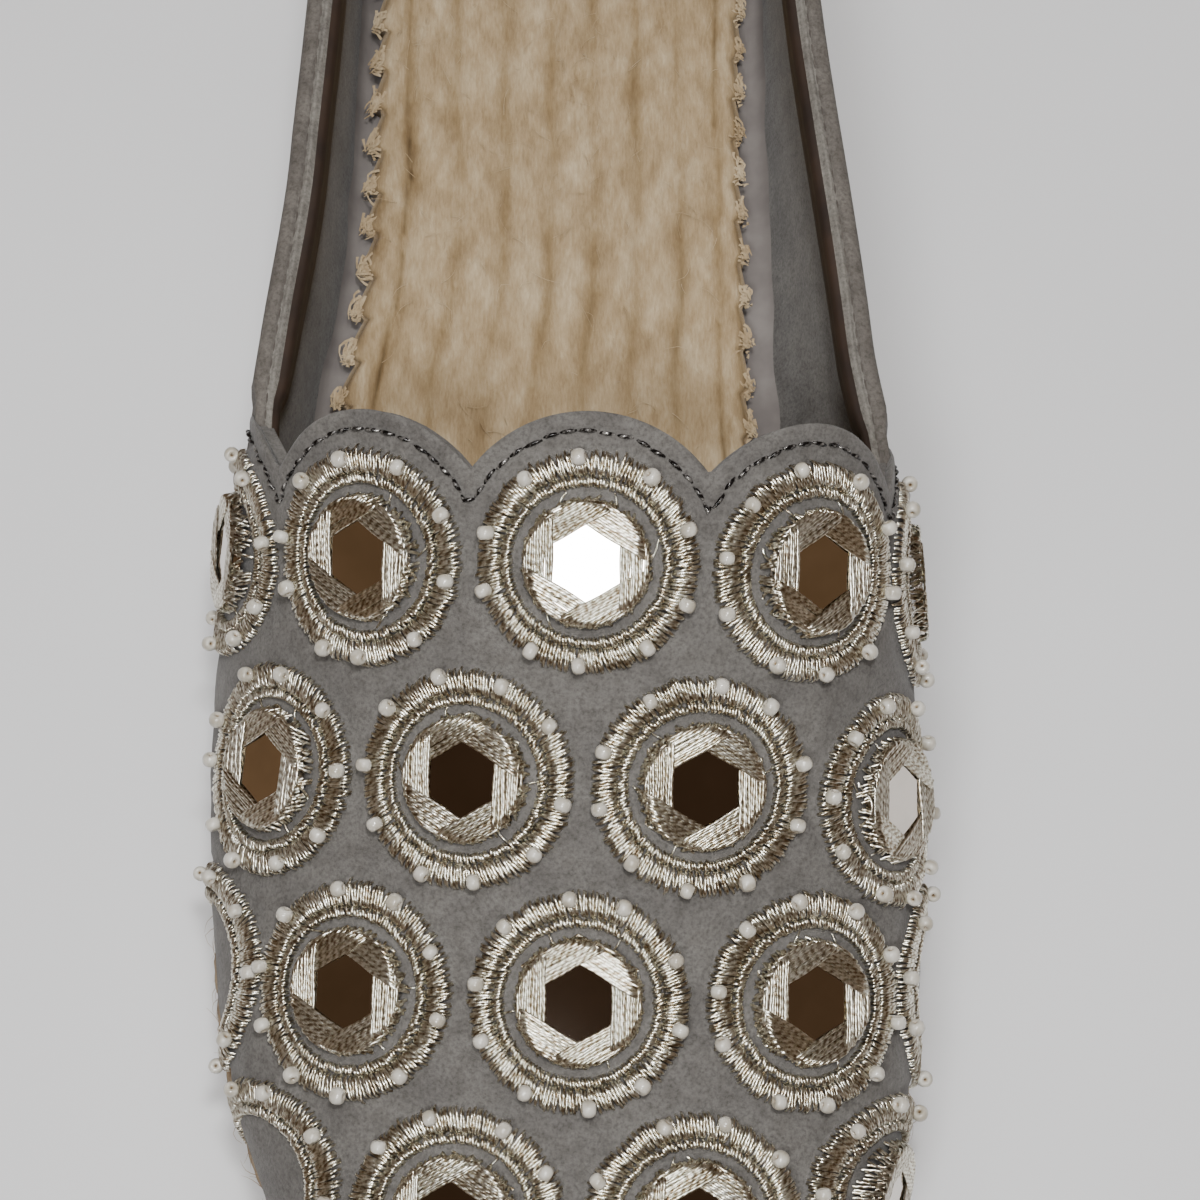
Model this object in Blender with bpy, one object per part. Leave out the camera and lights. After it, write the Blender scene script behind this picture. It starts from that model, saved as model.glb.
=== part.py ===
"""A right espadrille with a jute rope sole, a hollow suede upper and embroidered mirror rings on its vamp.

Lengths are in metres. The toe points to -Y, the heel to +Y, the inner (arch) side to +X, and +Z is up.
The shoe stands on the plane z = 0.
"""

import math

import bmesh
import bpy
from mathutils import Matrix, Vector
from mathutils.bvhtree import BVHTree

# Driving dimensions of the last
LENGTH = 0.252
BALL_WIDTH = 0.0905
INSTEP_HEIGHT = 0.0507
TOE_SPRING = 0.0045
ARCH_LIFT = 0.0012
HEEL_PITCH = 0.003
HEEL_LEAN = 0.005
HEEL_LEAN_TO = 0.25

# Layers under the foot, each with its own thickness
OUTSOLE_THICKNESS = 0.003
ROPE_ROUNDS = 3
ROPE_THICKNESS = 0.00525
ROPE_DIP = 0.0015
INSOLE_THICKNESS = 0.0034
INSOLE_ROUND = 0.0010
BRAID_ROWS = 9
BRAID_DEPTH = 0.0007

# Upper
WALL = 0.0016
OVERLAY = 0.0010
OVERLAY_STEP_UP = 0.0002
OVERLAY_HEM = 0.0004
GAP = 0.0003
FOOT_INSET = 0.0010
FOOT_TUCK = 0.0005
LASTING_MARGIN = 0.0085
INSOLE_INSET = 0.0054
OUTSOLE_INSET = 0.0012

# Collar binding
BINDING_THICKNESS = 0.0010
BINDING_DEPTH = 0.0050
BINDING_CLEARANCE = 0.00045

# Embroidered rings, laid out as a hexagonal lattice walked over the vamp
RING_OUTER = 0.0130
RING_INNER = 0.0089
RING_HEIGHT = 0.0009
RING_SEAT = 0.0004
RING_SPACING = 0.0282
ROW_PITCH = 0.0258
# Rows from the throat to the toe: steps are shares of RING_SPACING along the row, mirrors are the steps
# whose rings hold a mirror, and a bow carries a ring towards the toe by its step squared
WHOLE_ROW = (-2.0, -1.0, 0.0, 1.0, 2.0)
SHORT_ROW = (-1.5, -0.5, 0.5, 1.5)
TOE_ROW = (-1.0, 0.0, 1.0)
ROWS = (
    {"steps": WHOLE_ROW, "mirrors": WHOLE_ROW, "bow_outer": 0.0005, "bow_inner": 0.0011},
    {"steps": SHORT_ROW, "mirrors": SHORT_ROW, "bow_outer": 0.0004, "bow_inner": 0.0014},
    {"steps": WHOLE_ROW, "mirrors": TOE_ROW, "bow_outer": -0.0003, "bow_inner": -0.0001},
    {"steps": SHORT_ROW, "mirrors": (-0.5, 0.5, 1.5), "bow_outer": -0.0013, "bow_inner": -0.0010},
    {"steps": TOE_ROW, "mirrors": (0.0,), "bow_outer": 0.0016, "bow_inner": 0.0010},
)
PATTERN_X = 0.0032
PATTERN_DRIFT = 0.020
MIRROR_RADIUS = 0.00715
MIRROR_THICKNESS = 0.0010
SCALLOP_RADIUS = 0.0171
THROAT_ALONG = 0.527
FRONT_PLANE_SETBACK = 0.004

# Outsole grooves
GROOVE_DEPTH = 0.0010
GROOVE_WIDTH = 0.0022
GROOVE_PITCH = 0.0075
FOREFOOT_GROOVES = (0.60, 0.86)
HEEL_GROOVES = (0.06, 0.20)

# Shares of the length where the toe spring starts and the arch lift runs
SPRING_FROM = 0.72
ARCH_FROM = 0.28
ARCH_TO = 0.52
PITCH_FROM = 0.20
PITCH_TO = 0.60

# Round ends of the plan, and the round front of the toe, as shares of the length
HEEL_CAP = 0.16
TOE_CAP = 0.27
TOE_DROP = 0.10
HEEL_CAP_POWER = 2.0
TOE_CAP_POWER = 2.05
TOE_DROP_POWER = 2.2

# Sole outline: along is a share of LENGTH from the heel, the others are shares of BALL_WIDTH
SOLE_COLUMNS = ("along", "axis", "outer", "inner")
SOLE_TABLE = (
    (0.00, -0.011, 0.343, 0.343),
    (0.15, -0.011, 0.340, 0.340),
    (0.25, -0.017, 0.334, 0.338),
    (0.35, -0.020, 0.338, 0.343),
    (0.45, -0.020, 0.376, 0.347),
    (0.52, -0.017, 0.420, 0.373),
    (0.60, -0.006, 0.470, 0.425),
    (0.68, 0.000, 0.499, 0.470),
    (0.74, 0.006, 0.508, 0.484),
    (0.80, 0.013, 0.505, 0.486),
    (0.87, 0.024, 0.494, 0.478),
    (0.93, 0.033, 0.485, 0.470),
    (1.00, 0.039, 0.453, 0.442),
)

# Sections of the upper: swells and crest_x are shares of BALL_WIDTH, widest and crest are shares of
# INSTEP_HEIGHT above the feather line, and round_ is the exponent of each side's arch
LAST_COLUMNS = (
    "along", "swell_outer", "swell_inner", "widest", "crest", "crest_x", "round_outer", "round_inner",
)
LAST_TABLE = (
    (0.000, -0.006, -0.006, 0.32, 1.38, -0.011, 2.20, 2.20),
    (0.150, -0.006, 0.000, 0.36, 1.38, -0.011, 2.40, 2.40),
    (0.250, 0.006, 0.028, 0.43, 1.38, 0.000, 2.80, 2.80),
    (0.375, 0.020, 0.066, 0.47, 1.32, 0.028, 3.00, 3.00),
    (0.450, 0.018, 0.088, 0.39, 1.18, 0.044, 2.50, 2.80),
    (0.527, 0.022, 0.104, 0.24, 1.00, 0.053, 1.95, 2.50),
    (0.589, 0.020, 0.076, 0.10, 0.882, 0.055, 1.75, 2.35),
    (0.639, 0.009, 0.043, 0.06, 0.769, 0.053, 1.75, 2.25),
    (0.689, -0.007, 0.018, 0.06, 0.669, 0.046, 1.80, 2.20),
    (0.739, -0.020, -0.004, 0.06, 0.582, 0.040, 1.85, 2.15),
    (0.789, -0.024, -0.013, 0.06, 0.513, 0.035, 1.90, 2.10),
    (0.839, -0.024, -0.018, 0.06, 0.454, 0.033, 2.00, 2.10),
    (0.889, -0.022, -0.019, 0.07, 0.406, 0.035, 2.10, 2.20),
    (1.000, -0.020, -0.020, 0.08, 0.335, 0.039, 2.30, 2.30),
)

# Topline in the side view: height is a share of INSTEP_HEIGHT above the feather line
TOPLINE_COLUMNS = ("along", "height")
TOPLINE_TABLE = (
    (-0.10, 0.82),
    (0.02, 0.80),
    (0.12, 0.70),
    (0.24, 0.60),
    (0.375, 0.55),
    (0.47, 0.545),
    (0.60, 0.56),
)

# Mesh fineness
STATIONS = 32
ARCH_STEPS = 8
LOW_STEPS = 2
FINE_STATIONS = 140
FINE_ARCH_STEPS = 36
RING_STEPS = 18
MIRROR_STEPS = 12
SCALLOP_STEPS = 32
BINDING_STEPS = 18
TOPLINE_CHECKS = 400
COLLAR_STEPS = 26
WELD = 2e-6

# Cutters: how far they reach past the shoe, and where the collar's cutter starts behind the heel
REACH = LENGTH
CUTTER_DEPTH = 0.0095
COLLAR_START = -0.10

# Heights worked out from the layers
SOLE_BOTTOM = OUTSOLE_THICKNESS + GAP
SOLE_TOP = SOLE_BOTTOM + ROPE_ROUNDS * ROPE_THICKNESS
FEATHER = SOLE_TOP + GAP
INSOLE_SEAT = FEATHER + WALL + GAP
INSOLE_TOP = INSOLE_SEAT + INSOLE_THICKNESS


# Reading the tables

def slopes(xs, ys):
    """Slopes of a monotone cubic through the points."""
    steps = [b - a for a, b in zip(xs, xs[1:])]
    rises = [(b - a) / h for a, b, h in zip(ys, ys[1:], steps)]
    found = [rises[0]]
    for k in range(1, len(xs) - 1):
        before, after = rises[k - 1], rises[k]
        if before * after <= 0:
            found.append(0.0)
            continue
        near = 2 * steps[k] + steps[k - 1]
        far = steps[k] + 2 * steps[k - 1]
        found.append((near + far) / (near / before + far / after))
    found.append(rises[-1])
    return found


class Table:
    """A short table read along its first column with monotone cubics."""

    def __init__(self, columns, rows):
        self.xs = [row[0] for row in rows]
        self.curves = {}
        for k, name in enumerate(columns[1:], start=1):
            values = [row[k] for row in rows]
            self.curves[name] = (values, slopes(self.xs, values))

    def read(self, name, along):
        values, tangents = self.curves[name]
        along = min(max(along, self.xs[0]), self.xs[-1])
        k = 0
        while k < len(self.xs) - 2 and along > self.xs[k + 1]:
            k += 1
        step = self.xs[k + 1] - self.xs[k]
        t = (along - self.xs[k]) / step
        start = (2 * t**3 - 3 * t**2 + 1) * values[k] + (t**3 - 2 * t**2 + t) * step * tangents[k]
        end = (3 * t**2 - 2 * t**3) * values[k + 1] + (t**3 - t**2) * step * tangents[k + 1]
        return start + end


SOLE = Table(SOLE_COLUMNS, SOLE_TABLE)
LAST = Table(LAST_COLUMNS, LAST_TABLE)
TOPLINE = Table(TOPLINE_COLUMNS, TOPLINE_TABLE)


# The last's form

def rounded(t, power):
    """A quarter of a superellipse, from 0 at t = 0 to 1 at t = 1."""
    t = min(max(t, 0.0), 1.0)
    return (1.0 - (1.0 - t) ** power) ** (1.0 / power)


def plan_cap(along):
    heel = rounded(along / HEEL_CAP, HEEL_CAP_POWER)
    toe = rounded((1.0 - along) / TOE_CAP, TOE_CAP_POWER)
    return heel * toe


def axis_x(along):
    return SOLE.read("axis", along) * BALL_WIDTH


def side_name(side):
    return "outer" if side < 0 else "inner"


def sole_width(along, side):
    """Distance from the axis to the sole's edge on one side, before the round ends."""
    return SOLE.read(side_name(side), along) * BALL_WIDTH


def station_y(along, grow):
    return (LENGTH + 2.0 * grow) * (0.5 - along)


def along_of(y):
    return 0.5 - y / LENGTH


def outline_point(along, side, grow, z):
    """A point of the sole's outline, moved outwards by grow."""
    half = (sole_width(along, side) + grow) * plan_cap(along)
    return Vector((axis_x(along) + side * half, station_y(along, grow), z))


class Section:
    """One side of the upper's cross section at a share of the length."""

    def __init__(self, along, side, grow, floor):
        name = side_name(side)
        ends = plan_cap(along)
        edge = sole_width(along, side)
        wide = edge + LAST.read("swell_" + name, along) * BALL_WIDTH
        foot = min(edge - FOOT_INSET, wide - FOOT_TUCK)
        drop = rounded((1.0 - along) / TOE_DROP, TOE_DROP_POWER)
        axis = axis_x(along)
        crest = LAST.read("crest", along) * INSTEP_HEIGHT + grow
        widest = LAST.read("widest", along) * INSTEP_HEIGHT
        self.y = station_y(along, grow)
        self.power = LAST.read("round_" + name, along)
        self.wide_x = axis + side * (wide + grow) * ends
        self.foot_x = axis + side * (foot + grow) * ends
        self.crest_x = axis + (LAST.read("crest_x", along) * BALL_WIDTH - axis) * ends
        self.floor = floor
        self.crest_z = floor + (FEATHER + crest - floor) * drop
        self.widest_z = floor + (FEATHER + widest - floor) * drop

    def low_point(self, share):
        """From the foot (0) to the widest height (1)."""
        x = self.foot_x + (self.wide_x - self.foot_x) * (1.0 - (1.0 - share) ** 2)
        return Vector((x, self.y, self.floor + (self.widest_z - self.floor) * share))

    def arch_point(self, share):
        """From the widest height (0) over to the crest (1)."""
        turn = share * math.pi / 2.0
        across = max(math.cos(turn), 0.0) ** (2.0 / self.power)
        rise = math.sin(turn) ** (2.0 / self.power)
        x = self.crest_x + (self.wide_x - self.crest_x) * across
        return Vector((x, self.y, self.widest_z + (self.crest_z - self.widest_z) * rise))

    def wall_point(self, z):
        """The point of the side wall at a height."""
        if z <= self.widest_z:
            return self.low_point(max(0.0, (z - self.floor) / (self.widest_z - self.floor)))
        rise = min(1.0, (z - self.widest_z) / (self.crest_z - self.widest_z))
        across = (1.0 - rise**self.power) ** (1.0 / self.power)
        return Vector((self.crest_x + (self.wide_x - self.crest_x) * across, self.y, z))


def stations(count):
    """Shares of the length, closer together at both ends."""
    return [0.5 - 0.5 * math.cos(math.pi * k / count) for k in range(count + 1)]


def half_section(along, side, grow, floor, arch_steps):
    section = Section(along, side, grow, floor)
    points = [section.low_point(k / LOW_STEPS) for k in range(LOW_STEPS)]
    points += [section.arch_point(k / arch_steps) for k in range(arch_steps + 1)]
    return points


def full_section(along, grow, floor, arch_steps):
    """Section points from the outer foot over the crest to the inner foot."""
    outer = half_section(along, -1, grow, floor, arch_steps)
    inner = half_section(along, 1, grow, floor, arch_steps)
    return outer + inner[-2::-1]


def topline_z(along):
    return FEATHER + TOPLINE.read("height", along) * INSTEP_HEIGHT


def smooth(t):
    t = min(max(t, 0.0), 1.0)
    return t * t * (3.0 - 2.0 * t)


def settle(point):
    """Give a point of the straight last its toe spring, arch, heel pitch and heel lean."""
    along = along_of(point.y)
    x, y, z = point
    above = max(0.0, (z - FEATHER) / INSTEP_HEIGHT)
    near_heel = max(0.0, 1.0 - along / HEEL_LEAN_TO)
    y -= HEEL_LEAN * above**2 * near_heel**2
    through_sole = min(max((z - OUTSOLE_THICKNESS) / (SOLE_TOP - OUTSOLE_THICKNESS), 0.0), 1.0)
    z += HEEL_PITCH * (1.0 - smooth((along - PITCH_FROM) / (PITCH_TO - PITCH_FROM))) * through_sole
    waist = (along - ARCH_FROM) / (ARCH_TO - ARCH_FROM)
    if 0.0 < waist < 1.0:
        z += ARCH_LIFT * math.sin(math.pi * waist) ** 2
    if along > SPRING_FROM:
        z += TOE_SPRING * ((along - SPRING_FROM) / (1.0 - SPRING_FROM)) ** 2
    return Vector((x, y, z))


# Mesh helpers

def add_object(name, bm, material=None):
    bmesh.ops.remove_doubles(bm, verts=bm.verts, dist=1e-7)
    bmesh.ops.recalc_face_normals(bm, faces=bm.faces)
    mesh = bpy.data.meshes.new(name)
    bm.to_mesh(mesh)
    bm.free()
    obj = bpy.data.objects.new(name, mesh)
    bpy.context.collection.objects.link(obj)
    if material:
        mesh.materials.append(material)
    return obj


def add_grid(bm, rows, closed=False):
    """Faces between rows of points of one length."""
    grid = [[bm.verts.new(point) for point in row] for row in rows]
    width = len(rows[0])
    for low, high in zip(grid, grid[1:]):
        for k in range(width if closed else width - 1):
            after = (k + 1) % width
            bm.faces.new((low[k], low[after], high[after], high[k]))
    return grid


def settle_mesh(bm):
    """Triangulate first, so that no flat face is bent, then settle each point."""
    bmesh.ops.triangulate(bm, faces=bm.faces)
    for vert in bm.verts:
        vert.co = settle(vert.co)


def shade(obj, angle):
    obj.data.shade_smooth()
    obj.data.set_sharp_from_angle(angle=math.radians(angle))


def add_material(name, colour, roughness, metallic=0.0):
    material = bpy.data.materials.new(name)
    material.use_nodes = True
    shader = material.node_tree.nodes["Principled BSDF"]
    shader.inputs["Base Color"].default_value = (*colour, 1.0)
    shader.inputs["Roughness"].default_value = roughness
    shader.inputs["Metallic"].default_value = metallic
    return material


def combine(target, tool, operation):
    """Apply a Boolean to the target and remove the tool."""
    modifier = target.modifiers.new(operation.lower(), "BOOLEAN")
    modifier.operation = operation
    modifier.object = tool
    modifier.solver = "EXACT"
    depsgraph = bpy.context.evaluated_depsgraph_get()
    result = bpy.data.meshes.new_from_object(target.evaluated_get(depsgraph))
    target.modifiers.clear()
    target.data = result
    bpy.data.objects.remove(tool)
    return target


def outline_ring(grow, z):
    """The sole's outline at one height: the outer side from heel to toe, then the inner side back."""
    shares = stations(STATIONS)
    outer = [outline_point(share, -1, grow, z) for share in shares]
    inner = [outline_point(share, 1, grow, z) for share in reversed(shares[1:-1])]
    return outer + inner


def slab(levels):
    """A closed slab on the sole's outline. levels holds (grow, z) from the bottom up."""
    bm = bmesh.new()
    grid = add_grid(bm, [outline_ring(grow, z) for grow, z in levels], closed=True)
    for row in (grid[0], grid[-1]):
        add_strip_cap(bm, row)
    return bm


def add_strip_cap(bm, row):
    """Close an outline with strips that each run straight across it."""
    count = len(row) // 2
    for k in range(count):
        outer_a, outer_b = row[k], row[k + 1]
        inner_a = row[-k] if k else outer_a
        inner_b = row[-(k + 1)] if k + 1 < count else outer_b
        corners = [outer_a, outer_b, inner_b, inner_a]
        unique = list(dict.fromkeys(corners))
        bm.faces.new(unique)


# Sole pieces

def build_outsole(material):
    top = OUTSOLE_THICKNESS
    bm = slab([(-OUTSOLE_INSET, 0.0), (-OUTSOLE_INSET, top)])
    outsole = add_object("outsole", bm, material)
    for first, last in (HEEL_GROOVES, FOREFOOT_GROOVES):
        count = int((last - first) * LENGTH / GROOVE_PITCH)
        for k in range(count + 1):
            y = station_y(first, 0.0) - k * GROOVE_PITCH
            combine(outsole, groove_cutter(y), "DIFFERENCE")
    bm = bmesh.new()
    bm.from_mesh(outsole.data)
    settle_mesh(bm)
    bm.to_mesh(outsole.data)
    bm.free()
    return outsole


def groove_cutter(y):
    bm = bmesh.new()
    bmesh.ops.create_cube(bm, size=1.0)
    for vert in bm.verts:
        vert.co.x *= 2.0 * BALL_WIDTH
        vert.co.y = y + vert.co.y * GROOVE_WIDTH
        vert.co.z *= 2.0 * GROOVE_DEPTH
    return add_object("groove_cutter", bm)


def build_sole(material):
    """Rope rounds, one on another, as half-round steps of the side."""
    levels = []
    for round_index in range(ROPE_ROUNDS):
        for step in (-1.0, -0.6, 0.0, 0.6):
            levels.append(rope_level(round_index, step))
    levels.append(rope_level(ROPE_ROUNDS - 1, 1.0))
    bm = slab(levels)
    settle_mesh(bm)
    return add_object("sole", bm, material)


def rope_level(round_index, step):
    """Inset and height at a step from -1 (bottom) to 1 (top) of one rope round."""
    inset = ROPE_DIP * (1.0 - math.sqrt(1.0 - step * step))
    z = SOLE_BOTTOM + (round_index + 0.5 + 0.5 * step) * ROPE_THICKNESS
    return -inset, z


def build_insole(material):
    """A footbed whose edge seats on the turned-in margin and whose middle fills the opening inside it."""
    plug = -(LASTING_MARGIN + FOOT_INSET + GAP)
    edge = -INSOLE_INSET
    round_edge = edge - INSOLE_ROUND
    bm = bmesh.new()
    below = [(plug, FEATHER), (plug, INSOLE_SEAT), (edge, INSOLE_SEAT), (edge, INSOLE_TOP - INSOLE_ROUND)]
    levels = below + [(round_edge, INSOLE_TOP)]
    grid = add_grid(bm, [outline_ring(grow, z) for grow, z in levels], closed=True)
    add_strip_cap(bm, grid[0])
    add_braid_top(bm, grid[-1])
    settle_mesh(bm)
    return add_object("insole", bm, material)


def add_braid_top(bm, ring):
    """Lengthwise ridges, one for each braid row, between the ring's outer and inner points."""
    shares = stations(STATIONS)
    count = len(shares) - 1
    columns = 2 * BRAID_ROWS
    lines = []
    for k, share in enumerate(shares):
        if k in (0, count):
            lines.append([ring[k]] * (columns + 1))
            continue
        outer = ring[k]
        inner = ring[-k]
        line = [outer]
        for column in range(1, columns):
            point = outer.co.lerp(inner.co, column / columns)
            if column % 2:
                point.z += BRAID_DEPTH * plan_cap(share)
            line.append(bm.verts.new(point))
        line.append(inner)
        lines.append(line)
    for low, high in zip(lines, lines[1:]):
        for column in range(columns):
            corners = [low[column], low[column + 1], high[column + 1], high[column]]
            unique = list(dict.fromkeys(corners))
            bm.faces.new(unique)


# Ring lattice on the vamp

class Vamp:
    """The embroidered surface, as a fine mesh that rows can be walked on and points laid on."""

    def __init__(self):
        self.rows = [
            full_section(share, OVERLAY, FEATHER, FINE_ARCH_STEPS)
            for share in stations(FINE_STATIONS)
            if share > 0.3
        ]
        width = len(self.rows[0])
        points = [point for row in self.rows for point in row]
        faces = []
        for i in range(len(self.rows) - 1):
            for j in range(width - 1):
                corner = i * width + j
                faces.append((corner, corner + width, corner + width + 1, corner + 1))
        self.tree = BVHTree.FromPolygons(points, faces)
        self.crest = self.crest_path()

    def crest_path(self):
        """Points down the middle of the pattern, from the throat to the toe."""
        path = []
        for row in self.rows:
            x = PATTERN_X + PATTERN_DRIFT * (row[0].y - station_y(THROAT_ALONG, 0.0))
            for left, right in zip(row, row[1:]):
                if left.x <= x < right.x:
                    path.append(left.lerp(right, (x - left.x) / (right.x - left.x)))
                    break
        return path

    def lay(self, point, normal):
        """The surface point under a point, looking back along a normal."""
        start = point + normal * RING_OUTER
        hit, face_normal, _, _ = self.tree.ray_cast(start, -normal, 3.0 * RING_OUTER)
        if hit is None:
            return None, None
        return hit, face_normal if face_normal.dot(normal) > 0 else -face_normal

    def row_curve(self, origin, along):
        """The curve where the plane through origin across the shoe meets the surface."""
        curve = []
        width = len(self.rows[0])
        for j in range(width):
            for near, far in zip(self.rows, self.rows[1:]):
                a = (near[j] - origin).dot(along)
                b = (far[j] - origin).dot(along)
                if a <= 0.0 < b:
                    curve.append(near[j].lerp(far[j], a / (a - b)))
                    break
        return curve


def walk(path, start, distance):
    """A point at a signed distance along a path, its end stretches carried on straight."""
    target = start + distance
    travelled = 0.0
    for k, (a, b) in enumerate(zip(path, path[1:])):
        length = (b - a).length
        last = k == len(path) - 2
        if target <= travelled + length or last:
            share = (target - travelled) / length
            return a + (b - a) * share, (b - a).normalized()
        travelled += length
    return path[-1], (path[-1] - path[-2]).normalized()


def distance_to(path, point):
    """Distance along a path to the point of it nearest to a point."""
    best, found, travelled = None, 0.0, 0.0
    for a, b in zip(path, path[1:]):
        step = b - a
        share = min(max((point - a).dot(step) / step.length_squared, 0.0), 1.0)
        away = (a + step * share - point).length
        if best is None or away < best:
            best = away
            found = travelled + share * step.length
        travelled += step.length
    return found


def throat_distance(path):
    """Distance along the crest path to the throat's edge."""
    y = station_y(THROAT_ALONG, 0.0)
    travelled = 0.0
    for a, b in zip(path, path[1:]):
        if b.y <= y:
            return travelled + (a.y - y) / (a.y - b.y) * (b - a).length
        travelled += (b - a).length
    return travelled


class RingPlace:
    """Where one ring lies: its centre on the surface, its normal and its two directions."""

    def __init__(self, row, step, centre, normal, across):
        self.row = row
        self.step = step
        self.centre = centre
        self.normal = normal
        self.across = (across - normal * across.dot(normal)).normalized()
        self.along = self.across.cross(normal).normalized()

    def at(self, radius, turn):
        """A point of the tangent plane at a radius and a turn from the toe side."""
        return self.centre + radius * (math.cos(turn) * self.along + math.sin(turn) * self.across)


def ring_places(vamp):
    places = []
    throat = throat_distance(vamp.crest)
    for row, plan in enumerate(ROWS):
        here = throat + SCALLOP_RADIUS + row * ROW_PITCH
        origin, along = walk(vamp.crest, here, 0.0)
        curve = vamp.row_curve(origin, along)
        middle = distance_to(curve, origin)
        for step in plan["steps"]:
            point, across = walk(curve, middle, step * RING_SPACING)
            bow = plan["bow_" + side_name(step)]
            _, face, _, _ = vamp.tree.find_nearest(point)
            normal = outward(point, face)
            toeward = across.cross(normal)
            if toeward.dot(along) < 0:
                toeward = -toeward
            point = point + toeward.normalized() * bow * step * step
            places.append(RingPlace(row, step, *rest_on(vamp, point, normal, across)))
    return places


def outward(point, face_normal):
    middle = Vector((axis_x(along_of(point.y)), point.y, FEATHER))
    return face_normal if face_normal.dot(point - middle) > 0 else -face_normal


def rest_on(vamp, point, normal, across):
    """Drop a ring's centre on the surface, unless it lies past the feather edge."""
    hit, face = vamp.lay(point, normal)
    if hit is None or hit.z < FEATHER:
        return point, normal, across
    return hit, face, across


def ring_section(vamp, place, turn):
    """Four points of the band at one turn, or None past the feather edge or where the wall turns under."""
    section = []
    for radius in (RING_INNER, RING_OUTER):
        hit, normal = vamp.lay(place.at(radius, turn), place.normal)
        if hit is None or hit.z < FEATHER + GAP or normal.z < 0.0:
            return None
        section.append(hit + normal * RING_SEAT)
        section.append(hit + normal * (RING_SEAT + RING_HEIGHT))
    inner_low, inner_high, outer_low, outer_high = section
    return [inner_low, inner_high, outer_high, outer_low]


def kept_stretch(sections):
    """The unbroken run of sections that starts after a missing one."""
    count = len(sections)
    missing = [k for k, section in enumerate(sections) if section is None]
    first = next(k for k in range(missing[-1] + 1, missing[-1] + count) if sections[k % count])
    stretch = []
    while sections[(first + len(stretch)) % count]:
        stretch.append(sections[(first + len(stretch)) % count])
    return stretch


def ring_mesh(vamp, place):
    """A raised band that follows the surface, whole or cut off at the feather edge."""
    turns = [2.0 * math.pi * k / RING_STEPS for k in range(RING_STEPS)]
    sections = [ring_section(vamp, place, turn) for turn in turns]
    whole = all(sections)
    stretch = sections if whole else kept_stretch(sections)
    bm = bmesh.new()
    loops = [[bm.verts.new(point) for point in section] for section in stretch]
    pairs = list(zip(loops, loops[1:]))
    if whole:
        pairs.append((loops[-1], loops[0]))
    for a, b in pairs:
        for k in range(4):
            after = (k + 1) % 4
            bm.faces.new((a[k], a[after], b[after], b[k]))
    if not whole:
        bm.faces.new(loops[0])
        bm.faces.new(loops[-1])
    return bm


def mirror_mesh(vamp, place):
    """A round flat glass, seated where the surface under it is highest."""
    turns = [2.0 * math.pi * k / MIRROR_STEPS for k in range(MIRROR_STEPS)]
    rim = [vamp.lay(place.at(MIRROR_RADIUS, turn), place.normal)[0] for turn in turns]
    seat = max([0.0] + [(point - place.centre).dot(place.normal) for point in rim if point])
    bm = bmesh.new()
    faces = []
    for height in (seat + GAP, seat + GAP + MIRROR_THICKNESS):
        lift = place.normal * height
        faces.append([bm.verts.new(place.at(MIRROR_RADIUS, turn) + lift) for turn in turns])
    low, high = faces
    bm.faces.new(low)
    bm.faces.new(high)
    for k in range(MIRROR_STEPS):
        after = (k + 1) % MIRROR_STEPS
        bm.faces.new((low[k], low[after], high[after], high[k]))
    if min(vert.co.z for vert in bm.verts) < FEATHER + GAP:
        cut_at_feather(bm)
    return bm


def cut_at_feather(bm):
    """Drop what reaches below the feather edge, and close the cut."""
    geometry = list(bm.verts) + list(bm.edges) + list(bm.faces)
    edge = Vector((0.0, 0.0, FEATHER + GAP))
    down = Vector((0.0, 0.0, -1.0))
    cut = bmesh.ops.bisect_plane(bm, geom=geometry, plane_co=edge, plane_no=down, clear_outer=True)
    rim = [item for item in cut["geom_cut"] if isinstance(item, bmesh.types.BMEdge)]
    bmesh.ops.holes_fill(bm, edges=rim)


def build_rings(vamp, places, thread, glass):
    for number, place in enumerate(places, start=1):
        bm = ring_mesh(vamp, place)
        settle_mesh(bm)
        shade(add_object(f"ring_{number:02d}", bm, thread), 50)
        if place.step in ROWS[place.row]["mirrors"]:
            bm = mirror_mesh(vamp, place)
            settle_mesh(bm)
            shade(add_object(f"mirror_{number:02d}", bm, glass), 30)


# Upper

def blob(name, grow, floor):
    """A closed form of the last, moved outwards by grow, on a flat floor."""
    rows = [full_section(share, grow, floor, ARCH_STEPS) for share in stations(STATIONS)]
    bm = bmesh.new()
    add_grid(bm, rows, closed=True)
    return add_object(name, bm)


def prism(name, profile):
    """A side-view profile of (y, z) points, extruded right across the shoe."""
    bm = bmesh.new()
    near = [bm.verts.new((-REACH, y, z)) for y, z in profile]
    far = [bm.verts.new((REACH, y, z)) for y, z in profile]
    bm.faces.new(near)
    bm.faces.new(list(reversed(far)))
    for k in range(len(profile)):
        after = (k + 1) % len(profile)
        bm.faces.new((near[k], near[after], far[after], far[k]))
    return add_object(name, bm)


def scallop_tool(place, radius):
    """A cylinder round a ring's centre, square to the surface."""
    bm = bmesh.new()
    bmesh.ops.create_cone(
        bm, cap_ends=True, segments=SCALLOP_STEPS, radius1=radius, radius2=radius,
        depth=2.0 * CUTTER_DEPTH,
    )
    turn = place.normal.to_track_quat("Z", "X").to_matrix().to_4x4()
    bmesh.ops.transform(bm, matrix=Matrix.Translation(place.centre) @ turn, verts=bm.verts)
    return add_object("scallop_tool", bm)


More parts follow.
